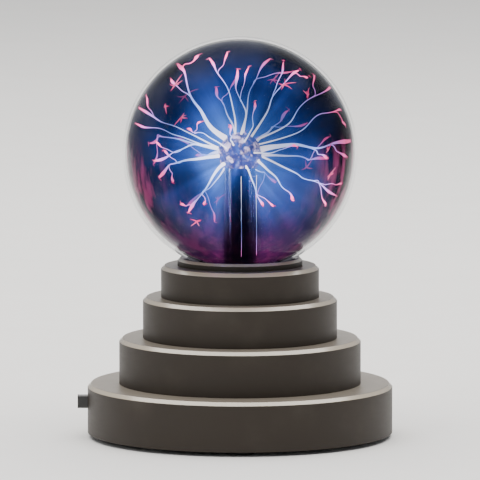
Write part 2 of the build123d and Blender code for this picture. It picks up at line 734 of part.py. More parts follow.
# ---- Power transistor screwed to a finned heatsink at the board's front edge ----

sink_front = -BOARD_WIDTH / 2 + HEATSINK_FROM_EDGE
sink_back = sink_front + FIN_DEPTH + HEATSINK_PLATE
tab_hole = board_top + LEG_LENGTH + TAB_HEIGHT - TAB_HOLE_INSET
with BuildPart() as heatsink:
    with BuildSketch(Plane.XY.offset(board_top)):
        with Locations((HEATSINK_OFFSET, sink_back)):
            Rectangle(HEATSINK_LENGTH, HEATSINK_PLATE, align=(Align.CENTER, Align.MAX))
        fin_pitch = (HEATSINK_LENGTH - FIN_THICKNESS) / (FIN_COUNT - 1)
        with Locations((HEATSINK_OFFSET, sink_front + FIN_DEPTH / 2)):
            with GridLocations(fin_pitch, 0, FIN_COUNT, 1):
                Rectangle(FIN_THICKNESS, FIN_DEPTH)
    extrude(amount=HEATSINK_HEIGHT)
    with BuildSketch(Plane.XZ.offset(-sink_back)):
        with Locations((HEATSINK_OFFSET, tab_hole)):
            Circle(SCREW_RADIUS)
    extrude(amount=HEATSINK_PLATE + FIN_DEPTH, mode=Mode.SUBTRACT)
heatsink.part.label = "heatsink"
export_step(heatsink.part, "parts/heatsink.step")

tab_bottom = board_top + LEG_LENGTH
tab_face = sink_back + TAB_THICKNESS
with BuildPart() as transistor_tab:
    with BuildSketch(Plane.XZ.offset(-sink_back)):
        with Locations((HEATSINK_OFFSET, tab_bottom)):
            Rectangle(TAB_WIDTH, TAB_HEIGHT, align=(Align.CENTER, Align.MIN))
        with Locations((HEATSINK_OFFSET, tab_hole)):
            Circle(SCREW_RADIUS + SCREW_GAP, mode=Mode.SUBTRACT)
    extrude(amount=-TAB_THICKNESS)
transistor_tab.part.label = "transistor_tab"
export_step(transistor_tab.part, "parts/transistor_tab.step")

with BuildPart() as transistor_body:
    with BuildSketch(Plane.XZ.offset(-tab_face)):
        with Locations((HEATSINK_OFFSET, tab_bottom)):
            Rectangle(TAB_WIDTH, TRANSISTOR_HEIGHT, align=(Align.CENTER, Align.MIN))
    extrude(amount=-TRANSISTOR_DEPTH)
    chamfer(transistor_body.faces().sort_by(Axis.Y)[-1].edges(), length=TRANSISTOR_CHAMFER)
transistor_body.part.label = "transistor_body"
export_step(transistor_body.part, "parts/transistor_body.step")

with BuildPart() as transistor_legs:
    with BuildSketch(Plane.XY.offset(board_top)):
        with Locations((HEATSINK_OFFSET, tab_face + TRANSISTOR_DEPTH / 2)):
            with GridLocations(LEG_PITCH, 0, LEG_COUNT, 1):
                Rectangle(LEG_WIDTH, LEG_THICKNESS)
    extrude(amount=LEG_LENGTH)
transistor_legs.part.label = "transistor_legs"
export_step(transistor_legs.part, "parts/transistor_legs.step")

with BuildPart() as heatsink_screw:
    with BuildSketch(Plane.XZ.offset(-tab_face)):
        with Locations((HEATSINK_OFFSET, tab_hole)):
            Circle(SCREW_HEAD_RADIUS)
    extrude(amount=-SCREW_HEAD_HEIGHT)
    head_rim = heatsink_screw.edges().filter_by(GeomType.CIRCLE).sort_by(Axis.Y)[-1]
    fillet(head_rim, radius=SCREW_HEAD_ROUND)
    with BuildSketch(Plane.XZ.offset(-tab_face)):
        with Locations((HEATSINK_OFFSET, tab_hole)):
            Circle(SCREW_RADIUS - LEAD_GAP)
    extrude(amount=TAB_THICKNESS + HEATSINK_PLATE)
heatsink_screw.part.label = "heatsink_screw"
export_step(heatsink_screw.part, "parts/heatsink_screw.step")


# ---- Capacitors, resistors and diode ----


def capacitor_can(place, radius, height):
    """An upright electrolytic can with the crimp groove near its foot."""
    with BuildPart() as can:
        with BuildSketch(Plane.XY.offset(board_top)):
            with Locations(place):
                Circle(radius)
        extrude(amount=height)
        rims = can.edges().filter_by(GeomType.CIRCLE).group_by(Axis.Z)
        fillet(rims[0] + rims[-1], radius=CAN_ROUND)
        with BuildSketch(Plane.XY.offset(board_top + CAN_GROOVE_RISE)):
            with Locations(place):
                Circle(radius)
                Circle(radius - CAN_GROOVE_DEPTH, mode=Mode.SUBTRACT)
        extrude(amount=CAN_GROOVE_WIDTH, mode=Mode.SUBTRACT)
    return can.part


with BuildPart() as main_capacitor:
    add(capacitor_can(MAIN_CAN_PLACE, MAIN_CAN_RADIUS, MAIN_CAN_HEIGHT))
main_capacitor.part.label = "main_capacitor"
export_step(main_capacitor.part, "parts/main_capacitor.step")

with BuildPart() as small_capacitor:
    add(capacitor_can(SMALL_CAN_PLACE, SMALL_CAN_RADIUS, SMALL_CAN_HEIGHT))
small_capacitor.part.label = "small_capacitor"
export_step(small_capacitor.part, "parts/small_capacitor.step")

with BuildPart() as film_capacitor:
    with BuildSketch(Plane.XY.offset(board_top)):
        with Locations(FILM_PLACE):
            RectangleRounded(FILM_LENGTH, FILM_DEPTH, FILM_CORNER)
    extrude(amount=FILM_HEIGHT)
    fillet(film_capacitor.faces().sort_by(Axis.Z)[-1].edges(), radius=FILM_ROUND)
film_capacitor.part.label = "film_capacitor"
export_step(film_capacitor.part, "parts/film_capacitor.step")


def axial_body(place, radius, length):
    """A small round component lying along X, a little above the board."""
    axis_height = board_top + AXIAL_LIFT + radius
    with BuildPart() as body:
        with BuildSketch(Plane.YZ.offset(place[0] - length / 2)):
            with Locations((place[1], axis_height)):
                Circle(radius)
        extrude(amount=length)
        fillet(body.edges().filter_by(GeomType.CIRCLE), radius=AXIAL_ROUND)
    return body.part


def axial_leads(place, radius, length):
    """The two wires of a lying component, out of its ends and down to the board."""
    axis_height = board_top + AXIAL_LIFT + radius
    with BuildPart() as leads:
        for side in (-1, 1):
            start = (place[0] + side * length / 2, place[1], axis_height)
            corner = (start[0] + side * AXIAL_LEAD_REACH, place[1], axis_height)
            foot = (corner[0], place[1], board_top)
            with BuildLine() as route:
                FilletPolyline(start, corner, foot, radius=AXIAL_LEAD_BEND)
            with BuildSketch(wire_start([start, corner])):
                Circle(AXIAL_LEAD_RADIUS)
            sweep(path=route.line)
    return leads.part


with BuildPart() as resistors:
    for resistor_place in RESISTOR_PLACES:
        add(axial_body(resistor_place, RESISTOR_RADIUS, RESISTOR_LENGTH))
resistors.part.label = "resistors"
export_step(resistors.part, "parts/resistors.step")

with BuildPart() as diode:
    add(axial_body(DIODE_PLACE, DIODE_RADIUS, DIODE_LENGTH))
diode.part.label = "diode"
export_step(diode.part, "parts/diode.step")

with BuildPart() as component_leads:
    for resistor_place in RESISTOR_PLACES:
        add(axial_leads(resistor_place, RESISTOR_RADIUS, RESISTOR_LENGTH))
    add(axial_leads(DIODE_PLACE, DIODE_RADIUS, DIODE_LENGTH))
component_leads.part.label = "component_leads"
export_step(component_leads.part, "parts/component_leads.step")

# ---- USB socket at the back, on a small board of its own ----

with BuildPart() as usb_board:
    with BuildSketch(Plane.XY.offset(usb_board_bottom)):
        with Locations((0, (usb_board_front + usb_board_back) / 2)):
            Rectangle(USB_BOARD_WIDTH, USB_BOARD_LENGTH)
        with Locations(*usb_post_places):
            Circle(SCREW_RADIUS + SCREW_GAP, mode=Mode.SUBTRACT)
    extrude(amount=USB_BOARD_THICKNESS)
usb_board.part.label = "usb_board"
export_step(usb_board.part, "parts/usb_board.step")

with BuildPart() as usb_board_screws:
    usb_screw_length = USB_BOARD_THICKNESS + BOARD_SCREW_LENGTH - SCREW_GAP
    usb_head_top = usb_board_top + SCREW_HEAD_HEIGHT
    add(screws(usb_post_places, usb_head_top, usb_screw_length, points_up=False))
usb_board_screws.part.label = "usb_board_screws"
export_step(usb_board_screws.part, "parts/usb_board_screws.step")


def socket_outline(inset):
    """The socket's flat shape with its two cut lower corners, set in from the outside by inset."""
    width = USB_WIDTH - 2 * inset
    height = USB_HEIGHT - 2 * inset
    with BuildSketch(Plane.XZ.offset(-usb_mouth)) as outline:
        with Locations((0, usb_axis)):
            Rectangle(width, height)
        chamfer(outline.vertices().group_by(Axis.Y)[0], length=USB_CHAMFER)
    return outline.sketch


socket_outside = socket_outline(0)
socket_inside = socket_outline(USB_SHELL_WALL)
with BuildPart() as usb_shell:
    extrude(socket_outside, amount=USB_LENGTH)
    extrude(socket_inside, amount=USB_LENGTH, mode=Mode.SUBTRACT)
usb_shell.part.label = "usb_shell"
export_step(usb_shell.part, "parts/usb_shell.step")

block_face = usb_mouth - USB_LENGTH + TONGUE_BLOCK
with BuildPart() as usb_tongue:
    extrude(socket_inside, amount=USB_LENGTH)
    with BuildSketch(Plane.XZ.offset(-block_face)):
        with Locations((0, usb_axis)):
            Rectangle(USB_WIDTH, USB_HEIGHT)
    extrude(amount=-USB_LENGTH, mode=Mode.SUBTRACT)
    with BuildSketch(Plane.XZ.offset(-block_face)):
        with Locations((0, usb_axis)):
            Rectangle(TONGUE_WIDTH, TONGUE_HEIGHT)
    extrude(amount=-TONGUE_LENGTH)
usb_tongue.part.label = "usb_tongue"
export_step(usb_tongue.part, "parts/usb_tongue.step")

# ---- Slide switch on the -X side ----

# Steel frame: a flat face plate with the knob's window, and a can behind it
window_length = KNOB_LENGTH + SWITCH_TRAVEL + 2 * SLIDE_GAP
window_height = KNOB_HEIGHT + 2 * SLIDE_GAP
can_room_height = FRAME_HEIGHT - 2 * FRAME_THICKNESS
with BuildPart() as switch_frame:
    with BuildSketch(Plane.YZ.offset(frame_face)):
        with Locations((0, switch_axis)):
            Rectangle(frame_length, FRAME_HEIGHT)
            Rectangle(window_length, window_height, mode=Mode.SUBTRACT)
    extrude(amount=FRAME_THICKNESS)
    with BuildSketch(Plane.YZ.offset(frame_back)):
        with Locations((0, switch_axis)):
            Rectangle(can_length, FRAME_HEIGHT)
            Rectangle(can_room_length, can_room_height, mode=Mode.SUBTRACT)
    extrude(amount=CAN_DEPTH - FRAME_THICKNESS)
switch_frame.part.label = "switch_frame"
export_step(switch_frame.part, "parts/switch_frame.step")

# Insulating plate that closes the can and carries the terminals
with BuildPart() as switch_base:
    with BuildSketch(Plane.YZ.offset(switch_base_face)):
        with Locations((0, switch_axis)):
            Rectangle(can_room_length, can_room_height)
            with GridLocations(TERMINAL_PITCH, 0, TERMINAL_COUNT, 1):
                Rectangle(TERMINAL_WIDTH, TERMINAL_THICKNESS, mode=Mode.SUBTRACT)
    extrude(amount=SWITCH_BASE_THICKNESS)
switch_base.part.label = "switch_base"
export_step(switch_base.part, "parts/switch_base.step")

with BuildPart() as switch_terminals:
    with BuildSketch(Plane.YZ.offset(switch_base_face)):
        with Locations((0, switch_axis)):
            with GridLocations(TERMINAL_PITCH, 0, TERMINAL_COUNT, 1):
                Rectangle(TERMINAL_WIDTH, TERMINAL_THICKNESS)
    extrude(amount=SWITCH_BASE_THICKNESS + TERMINAL_LENGTH)
    with BuildSketch(Plane.YZ.offset(switch_base_face)):
        with Locations((0, switch_axis)):
            with GridLocations(TERMINAL_PITCH, 0, TERMINAL_COUNT, 1):
                Rectangle(TERMINAL_WIDTH, BRIDGE_WIDTH)
    extrude(amount=-CONTACT_HEAD_HEIGHT)
switch_terminals.part.label = "switch_terminals"
export_step(switch_terminals.part, "parts/switch_terminals.step")

# Moving knob: a ribbed finger piece on a foot that slides inside the can
with BuildPart() as switch_knob:
    with BuildSketch(Plane.YZ.offset(knob_foot_face)):
        with Locations((knob_rest, switch_axis)):
            Rectangle(KNOB_FOOT_LENGTH, KNOB_FOOT_HEIGHT)
    extrude(amount=KNOB_FOOT_THICKNESS)
    with BuildSketch(Plane.YZ.offset(knob_tip)):
        with Locations((knob_rest, switch_axis)):
            RectangleRounded(KNOB_LENGTH, KNOB_HEIGHT, KNOB_ROUND)
    extrude(amount=knob_foot_face - knob_tip)
    with BuildSketch(Plane.YZ.offset(knob_tip)):
        with Locations((knob_rest, switch_axis)):
            with GridLocations(GRIP_GROOVE_PITCH, 0, GRIP_GROOVE_COUNT, 1):
                Rectangle(GRIP_GROOVE_WIDTH, KNOB_HEIGHT)
    extrude(amount=GRIP_GROOVE_DEPTH, mode=Mode.SUBTRACT)
switch_knob.part.label = "switch_knob"
export_step(switch_knob.part, "parts/switch_knob.step")

# Moving contact bridge pressed onto the knob's foot
with BuildPart() as switch_bridge:
    with BuildSketch(Plane.YZ.offset(knob_foot_back)):
        with Locations((knob_rest, switch_axis)):
            Rectangle(KNOB_FOOT_LENGTH, BRIDGE_WIDTH)
    extrude(amount=BRIDGE_THICKNESS)
    with BuildSketch(Plane.YZ.offset(knob_foot_back + BRIDGE_THICKNESS)):
        with Locations((knob_rest, switch_axis)):
            with GridLocations(TERMINAL_PITCH, 0, DIMPLE_COUNT, 1):
                Circle(DIMPLE_RADIUS)
    extrude(amount=DIMPLE_HEIGHT)
switch_bridge.part.label = "switch_bridge"
export_step(switch_bridge.part, "parts/switch_bridge.step")

# ---- Hook-up wires between the socket, the switch and the board ----

usb_pad_row = usb_board_front + WIRE_PAD_INSET
board_pad_row = BOARD_WIDTH / 2 - WIRE_PAD_INSET
ground_route = [
    (WIRE_PAD_SPREAD, usb_pad_row, usb_board_top),
    (WIRE_PAD_SPREAD, usb_pad_row, usb_board_top + WIRE_RISE),
    (WIRE_PAD_SPREAD, board_pad_row, board_top + WIRE_RISE),
    (WIRE_PAD_SPREAD, board_pad_row, board_top),
]
with BuildPart() as ground_wire:
    with BuildLine():
        FilletPolyline(*ground_route, radius=bend_radii(ground_route))
    with BuildSketch(wire_start(ground_route)):
        Circle(WIRE_RADIUS)
    sweep()
ground_wire.part.label = "ground_wire"
export_step(ground_wire.part, "parts/ground_wire.step")

wire_level = usb_board_top + WIRE_RISE
board_side = -BOARD_LENGTH / 2
wire_turn = terminal_tip + TERMINAL_RUN
usb_power_route = [
    (-WIRE_PAD_SPREAD, usb_pad_row, usb_board_top),
    (-WIRE_PAD_SPREAD, usb_pad_row, wire_level),
    (board_side / 2, BOARD_WIDTH / 2 + WIRE_EDGE_GAP, wire_level),
    (board_side, BOARD_WIDTH / 2 - WIRE_CORNER_CUT, wire_level),
    (wire_turn, TERMINAL_PITCH + WIRE_APPROACH, switch_axis),
    (wire_turn, TERMINAL_PITCH, switch_axis),
    (terminal_tip, TERMINAL_PITCH, switch_axis),
]
with BuildPart() as usb_power_wire:
    with BuildLine():
        FilletPolyline(*usb_power_route, radius=bend_radii(usb_power_route))
    with BuildSketch(wire_start(usb_power_route)):
        Circle(WIRE_RADIUS)
    sweep()
usb_power_wire.part.label = "usb_power_wire"
export_step(usb_power_wire.part, "parts/usb_power_wire.step")

switch_wire_pad = (board_side + WIRE_PAD_INSET, -TERMINAL_PITCH - SWITCH_PAD_OFFSET)
switch_route = [
    (terminal_tip, -TERMINAL_PITCH, switch_axis),
    (wire_turn, -TERMINAL_PITCH, switch_axis),
    (*switch_wire_pad, board_top + WIRE_RISE),
    (*switch_wire_pad, board_top),
]
with BuildPart() as switch_wire:
    with BuildLine():
        FilletPolyline(*switch_route, radius=bend_radii(switch_route))
    with BuildSketch(wire_start(switch_route)):
        Circle(WIRE_RADIUS)
    sweep()
switch_wire.part.label = "switch_wire"
export_step(switch_wire.part, "parts/switch_wire.step")
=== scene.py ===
import math
import random
import bpy
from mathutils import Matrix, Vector


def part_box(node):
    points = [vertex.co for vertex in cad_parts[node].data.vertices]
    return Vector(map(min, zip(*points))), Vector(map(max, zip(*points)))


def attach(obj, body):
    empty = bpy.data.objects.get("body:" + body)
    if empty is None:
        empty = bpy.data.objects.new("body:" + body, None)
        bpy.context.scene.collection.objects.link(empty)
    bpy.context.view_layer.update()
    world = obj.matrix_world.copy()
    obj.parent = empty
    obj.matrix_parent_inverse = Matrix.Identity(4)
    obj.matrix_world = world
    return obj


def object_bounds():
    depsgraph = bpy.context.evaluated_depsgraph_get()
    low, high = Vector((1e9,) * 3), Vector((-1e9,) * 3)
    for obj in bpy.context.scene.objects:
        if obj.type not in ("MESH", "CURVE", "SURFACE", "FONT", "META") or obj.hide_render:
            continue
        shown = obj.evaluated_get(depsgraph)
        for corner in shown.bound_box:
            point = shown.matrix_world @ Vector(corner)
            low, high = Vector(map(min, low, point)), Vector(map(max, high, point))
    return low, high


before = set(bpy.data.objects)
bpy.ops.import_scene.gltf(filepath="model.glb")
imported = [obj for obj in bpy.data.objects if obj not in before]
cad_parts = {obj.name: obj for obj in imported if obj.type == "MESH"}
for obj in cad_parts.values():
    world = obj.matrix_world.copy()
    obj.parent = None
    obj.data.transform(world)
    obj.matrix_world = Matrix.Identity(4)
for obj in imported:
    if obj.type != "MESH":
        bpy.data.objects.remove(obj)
cad_box = [list(corner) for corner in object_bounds()]

# ---------------------------------------------------------------------------------------------
# Rubber feet: four round pads of black nitrile rubber, die-cut and glued into wells in the cover.
# The rubber is dead matte, a little dusty and finely pitted.
# ---------------------------------------------------------------------------------------------


class Field:
    """One shader output that takes part in plain arithmetic, so a mask reads as a sum."""

    def __init__(self, paint, output):
        self.paint = paint
        self.output = output

    def math(self, operation, first, second=0.0):
        return self.paint.node("ShaderNodeMath", {"operation": operation}, {0: first, 1: second})

    def __add__(self, other):
        return self.math("ADD", self, other)

    def __radd__(self, other):
        return self.math("ADD", other, self)

    def __sub__(self, other):
        return self.math("SUBTRACT", self, other)

    def __rsub__(self, other):
        return self.math("SUBTRACT", other, self)

    def __mul__(self, other):
        return self.math("MULTIPLY", self, other)

    def __truediv__(self, other):
        return self.math("DIVIDE", self, other)

    def __pow__(self, other):
        return self.math("POWER", self, other)

    def __abs__(self):
        return self.math("ABSOLUTE", self)

    def ramp(self, low, high, to_low=0.0, to_high=1.0):
        """Eases from to_low to to_high as the value goes from low to high."""
        values = {"Value": self, "From Min": low, "From Max": high, "To Min": to_low, "To Max": to_high}
        return self.paint.node("ShaderNodeMapRange", {"interpolation_type": "SMOOTHSTEP"}, values)


class Paint:
    """A material that is built node by node."""

    def __init__(self, name):
        self.material = bpy.data.materials.new(name)
        self.material.use_nodes = True
        self.tree = self.material.node_tree
        self.tree.nodes.clear()

    def node(self, kind, settings=None, inputs=None, output=0):
        """Adds a node, sets it up, feeds its sockets and gives back one of its outputs."""
        made = self.tree.nodes.new(kind)
        for name, value in (settings or {}).items():
            if name == "stops":
                self.set_stops(made.color_ramp, value)
            else:
                setattr(made, name, value)
        for name, value in (inputs or {}).items():
            if isinstance(value, Field):
                self.tree.links.new(value.output, made.inputs[name])
            else:
                made.inputs[name].default_value = value
        return Field(self, made.outputs[output]) if made.outputs else made

    def set_stops(self, ramp, stops):
        """Gives a colour ramp its stops, as (place, colour) pairs."""
        while len(ramp.elements) < len(stops):
            ramp.elements.new(0.5)
        for element, (place, colour) in zip(ramp.elements, stops):
            element.position = place
            element.color = (*colour, 1)

    def place(self):
        """The point on the piece in metres, in the object's own frame."""
        return self.node("ShaderNodeTexCoord", output=3)

    def apart(self, vector):
        """The three numbers of a vector."""
        split = self.node("ShaderNodeSeparateXYZ", None, {0: vector})
        return [Field(self, output) for output in split.output.node.outputs]

    def noise(self, scale, detail=2.0, vector=None, roughness=0.5):
        """A cloudy value from 0 to 1."""
        values = {"Vector": vector or self.place(), "Scale": scale, "Detail": detail, "Roughness": roughness}
        return self.node("ShaderNodeTexNoise", None, values)

    def blend(self, share, first, second):
        """One colour going over into another."""
        values = {"Factor": share, 6: first, 7: second}
        return self.node("ShaderNodeMix", {"data_type": "RGBA"}, values, output=2)

    def bump(self, height, depth, strength=1.0):
        """A surface normal with small relief of this depth in metres."""
        return self.node("ShaderNodeBump", None, {"Height": height, "Distance": depth, "Strength": strength})

    def finish(self, **sockets):
        """Ends the material in one Principled shader."""
        values = {name.replace("_", " "): value for name, value in sockets.items()}
        shader = self.node("ShaderNodeBsdfPrincipled", None, values)
        self.node("ShaderNodeOutputMaterial", None, {"Surface": shader})
        return self.material


def rgb(red, green, blue):
    """A solid colour for a shader socket."""
    return (red, green, blue, 1)


def dress(material, *nodes):
    """Puts a material on CAD nodes."""
    for name in nodes:
        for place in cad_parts[name].material_slots:
            place.material = material


def moulded(name, colour, dust, roughness, grain, relief):
    """A moulded plastic or rubber: fine grain, soft cloudy gloss and a trace of dust."""
    paint = Paint(name)
    clouds = paint.noise(60, 4)
    specks = paint.noise(grain, 2)
    return paint.finish(
        Base_Color=paint.blend(clouds.ramp(0.45, 0.75) * 0.5, colour, dust),
        Roughness=roughness + (clouds - 0.5) * 0.16 + (specks - 0.5) * 0.1,
        Normal=paint.bump(specks, relief, 0.7),
    )


dress(
    moulded("foot_rubber", rgb(0.018, 0.018, 0.019), rgb(0.06, 0.057, 0.052), 0.82, 5200, 0.00006),
    "rubber_feet",
)

# ---------------------------------------------------------------------------------------------
# Bottom cover: a flat disc of black ABS, injection moulded with a coarse spark-eroded texture,
# held on by four zinc-plated self-tapping screws.
# ---------------------------------------------------------------------------------------------

dress(
    moulded("cover_plastic", rgb(0.024, 0.023, 0.022), rgb(0.05, 0.048, 0.044), 0.66, 2600, 0.00009),
    "bottom_cover",
)


def worked_metal(name, colour, tarnish, roughness, grain, metallic=1.0):
    """Plated or plain metal with fine tool marks and a patchy tarnish."""
    paint = Paint(name)
    patches = paint.noise(420, 3)
    marks = paint.noise(grain, 3, paint.node(
        "ShaderNodeMapping", None, {"Vector": paint.place(), "Scale": (1, 0.12, 1)}
    ))
    return paint.finish(
        Base_Color=paint.blend(patches.ramp(0.4, 0.72), colour, tarnish),
        Metallic=metallic,
        Roughness=roughness + (marks - 0.5) * 0.25 + (patches - 0.5) * 0.12,
        Normal=paint.bump(marks, 0.00002, 0.5),
    )


dress(
    worked_metal("screw_steel", rgb(0.62, 0.6, 0.55), rgb(0.42, 0.41, 0.38), 0.34, 5000),
    "cover_screws", "board_screws", "usb_board_screws", "heatsink_screw",
)

# ---------------------------------------------------------------------------------------------
# Circuit boards: single-sided boards of punched phenolic paper laminate, tan with a faint
# fibrous mottle, a matte lacquer on top and darker sawn edges.
# ---------------------------------------------------------------------------------------------

paint = Paint("board_laminate")
fibres = paint.noise(900, 4, paint.node(
    "ShaderNodeMapping", None, {"Vector": paint.place(), "Scale": (1, 5, 1)}
))
up = paint.apart(paint.node("ShaderNodeNewGeometry", output=1))[2]
board_tone = paint.blend(fibres.ramp(0.35, 0.7), rgb(0.42, 0.25, 0.1), rgb(0.55, 0.36, 0.16))
dress(
    paint.finish(
        Base_Color=paint.blend(abs(up).ramp(0.4, 0.8), rgb(0.2, 0.11, 0.045), board_tone),
        Roughness=0.5 + (fibres - 0.5) * 0.2,
        Normal=paint.bump(fibres, 0.00003, 0.5),
    ),
    "circuit_board", "usb_board",
)

# ---------------------------------------------------------------------------------------------
# High-voltage transformer: two sintered ferrite halves round a black phenolic bobbin, with an
# enamelled copper primary below and a secondary wrapped in yellow polyester tape above.
# ---------------------------------------------------------------------------------------------

paint = Paint("ferrite")
pores = paint.noise(3400, 3)
dress(
    paint.finish(
        Base_Color=paint.blend(pores.ramp(0.5, 0.7), rgb(0.045, 0.046, 0.05), rgb(0.1, 0.1, 0.105)),
        Roughness=0.42 + (pores - 0.5) * 0.3,
        Normal=paint.bump(pores, 0.00004, 0.6),
    ),
    "core_lower", "core_upper",
)
dress(
    moulded("bobbin_plastic", rgb(0.02, 0.02, 0.02), rgb(0.05, 0.045, 0.04), 0.5, 4200, 0.00004),
    "bobbin",
)


def wound(name, colour, groove_shade_colour, turn, metallic, roughness):
    """A winding seen from outside: turns side by side round an upright axis."""
    paint = Paint(name)
    height = paint.apart(paint.place())[2]
    wobble = paint.noise(200, 2)
    phase = height * (2 * math.pi / turn) + wobble * 2.0
    turns = paint.node("ShaderNodeMath", {"operation": "SINE"}, {0: phase})
    # Painted shade: the colour goes dark in the grooves between turns
    return paint.finish(
        Base_Color=paint.blend(turns.ramp(-0.9, 0.1), groove_shade_colour, colour),
        Metallic=metallic,
        Roughness=roughness + (wobble - 0.5) * 0.2,
        Normal=paint.bump(turns, 0.00006, 0.8),
    )


dress(
    wound("copper_wire", rgb(0.62, 0.22, 0.08), rgb(0.14, 0.04, 0.015), 0.0003, 0.85, 0.32),
    "primary_winding",
)
dress(
    wound("winding_tape", rgb(0.83, 0.6, 0.06), rgb(0.5, 0.33, 0.03), 0.0022, 0.0, 0.24),
    "secondary_winding",
)

# ---------------------------------------------------------------------------------------------
# Power transistor: a black epoxy body moulded on a tinned copper tab, screwed to an extruded
# aluminium heatsink, with its tinned legs soldered to the board.
# ---------------------------------------------------------------------------------------------

dress(
    moulded("component_plastic", rgb(0.016, 0.016, 0.017), rgb(0.045, 0.044, 0.042), 0.46, 4600, 0.00003),
    "transistor_body", "usb_tongue",
)
dress(
    worked_metal("plated_copper", rgb(0.68, 0.66, 0.61), rgb(0.5, 0.47, 0.42), 0.36, 6000),
    "transistor_tab", "transistor_legs", "component_leads",
)
dress(
    worked_metal("heatsink_aluminium", rgb(0.74, 0.75, 0.77), rgb(0.6, 0.61, 0.63), 0.4, 2600),
    "heatsink",
)

# ---------------------------------------------------------------------------------------------
# Electrolytic capacitors: drawn aluminium cans in dark blue shrink sleeves with a pale stripe
# down one side, left bare on the flat top where the can is scored.
# ---------------------------------------------------------------------------------------------

paint = Paint("capacitor_sleeve")
can_low, can_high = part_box("main_capacitor")
can_center = (can_low + can_high) / 2
across, along, height = paint.apart(paint.place())
can_up = paint.apart(paint.node("ShaderNodeNewGeometry", output=1))[2]
crinkle = paint.noise(700, 3)
stripe = abs(across - can_center.x).ramp(0.0012, 0.0014, 1, 0) * (can_center.y - along).ramp(0, 0.001)
sleeve_colour = paint.blend(stripe, rgb(0.012, 0.02, 0.06), rgb(0.6, 0.62, 0.66))
bare_top = can_up.ramp(0.93, 0.97)
dress(
    paint.finish(
        Base_Color=paint.blend(bare_top, sleeve_colour, rgb(0.75, 0.76, 0.78)),
        Metallic=bare_top,
        Roughness=0.25 + bare_top * 0.15 + (crinkle - 0.5) * 0.1,
        Normal=paint.bump(crinkle, 0.00003, 0.4),
    ),
    "main_capacitor", "small_capacitor",
)

# ---------------------------------------------------------------------------------------------
# Film capacitor: a wound film block potted in a glossy mustard plastic box with a faint
# ripple where the potting has shrunk.
# ---------------------------------------------------------------------------------------------

dress(
    moulded("film_capacitor_case", rgb(0.62, 0.4, 0.03), rgb(0.5, 0.33, 0.04), 0.24, 900, 0.00003),
    "film_capacitor",
)

# ---------------------------------------------------------------------------------------------
# Resistors and diode: ceramic rods dipped in beige lacquer with painted rings, and a black
# epoxy diode with its silver cathode ring. Their rings run round the X axis.
# ---------------------------------------------------------------------------------------------


def ringed(name, node, body_colour, rings, roughness):
    """A lying round component with coloured rings, each given as place, half width and colour."""
    paint = Paint(name)
    low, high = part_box(node)
    share = (paint.apart(paint.place())[0] - low.x) / (high.x - low.x)
    ripple = paint.noise(1500, 2)
    colour = paint.blend(ripple.ramp(0.3, 0.8) * 0.3, body_colour, rgb(*[0.7 * c for c in body_colour[:3]]))
    for place, half_width, ring_colour in rings:
        mask = abs(share - place).ramp(half_width, half_width + 0.01, 1, 0)
        colour = paint.blend(mask, colour, ring_colour)
    return paint.finish(
        Base_Color=colour,
        Roughness=roughness + (ripple - 0.5) * 0.2,
        Normal=paint.bump(ripple, 0.00003, 0.5),
    )


resistor_rings = [
    (0.2, 0.045, rgb(0.35, 0.12, 0.03)),
    (0.38, 0.045, rgb(0.02, 0.02, 0.02)),
    (0.56, 0.045, rgb(0.6, 0.1, 0.02)),
    (0.82, 0.045, rgb(0.6, 0.42, 0.1)),
]
dress(
    ringed("resistor_lacquer", "resistors", rgb(0.58, 0.42, 0.24), resistor_rings, 0.3),
    "resistors",
)
dress(
    ringed("diode_epoxy", "diode", rgb(0.018, 0.018, 0.018), [(0.85, 0.06, rgb(0.6, 0.6, 0.6))], 0.4),
    "diode",
)

# ---------------------------------------------------------------------------------------------
# USB socket: a shell stamped and folded from nickel-plated steel, soldered to its small board
# behind the opening in the back wall. The same plated steel makes the slide switch's frame.
# ---------------------------------------------------------------------------------------------

dress(
    worked_metal("socket_steel", rgb(0.7, 0.69, 0.66), rgb(0.55, 0.54, 0.52), 0.28, 3800),
    "usb_shell", "switch_frame",
)

# ---------------------------------------------------------------------------------------------
# Slide switch: a brown phenolic base with silver-plated brass contacts closes the steel frame,
# and the finger piece that rides in it is moulded in black acetal with three grip grooves.
# ---------------------------------------------------------------------------------------------

dress(
    moulded("switch_laminate", rgb(0.3, 0.14, 0.06), rgb(0.36, 0.2, 0.1), 0.5, 2400, 0.00003),
    "switch_base",
)
dress(
    worked_metal("contact_metal", rgb(0.78, 0.7, 0.5), rgb(0.66, 0.55, 0.33), 0.3, 5200),
    "switch_terminals", "switch_bridge",
)
dress(
    moulded("knob_plastic", rgb(0.02, 0.0195, 0.019), rgb(0.055, 0.052, 0.048), 0.42, 5600, 0.00003),
    "switch_knob",
)

# ---------------------------------------------------------------------------------------------
# Hook-up wires: stranded copper in soft PVC, black for the return and red for the feed.
# The thicker lead to the electrode is red-brown silicone.
# ---------------------------------------------------------------------------------------------

dress(
    moulded("black_wire", rgb(0.015, 0.015, 0.016), rgb(0.04, 0.04, 0.04), 0.45, 3000, 0.00003),
    "ground_wire",
)
dress(
    moulded("red_wire", rgb(0.5, 0.015, 0.012), rgb(0.42, 0.04, 0.03), 0.42, 3000, 0.00003),
    "usb_power_wire", "switch_wire",
)
dress(
    moulded("lead_insulation", rgb(0.28, 0.03, 0.018), rgb(0.3, 0.08, 0.05), 0.55, 2200, 0.00004),
    "high_voltage_lead",
)

# ---------------------------------------------------------------------------------------------
# Base housing: one injection moulding in black ABS, four round tiers with a 45 degree bevel
# round each rim. The flats are satin with a fine mould grain and the bevels come out smoother.
# ---------------------------------------------------------------------------------------------


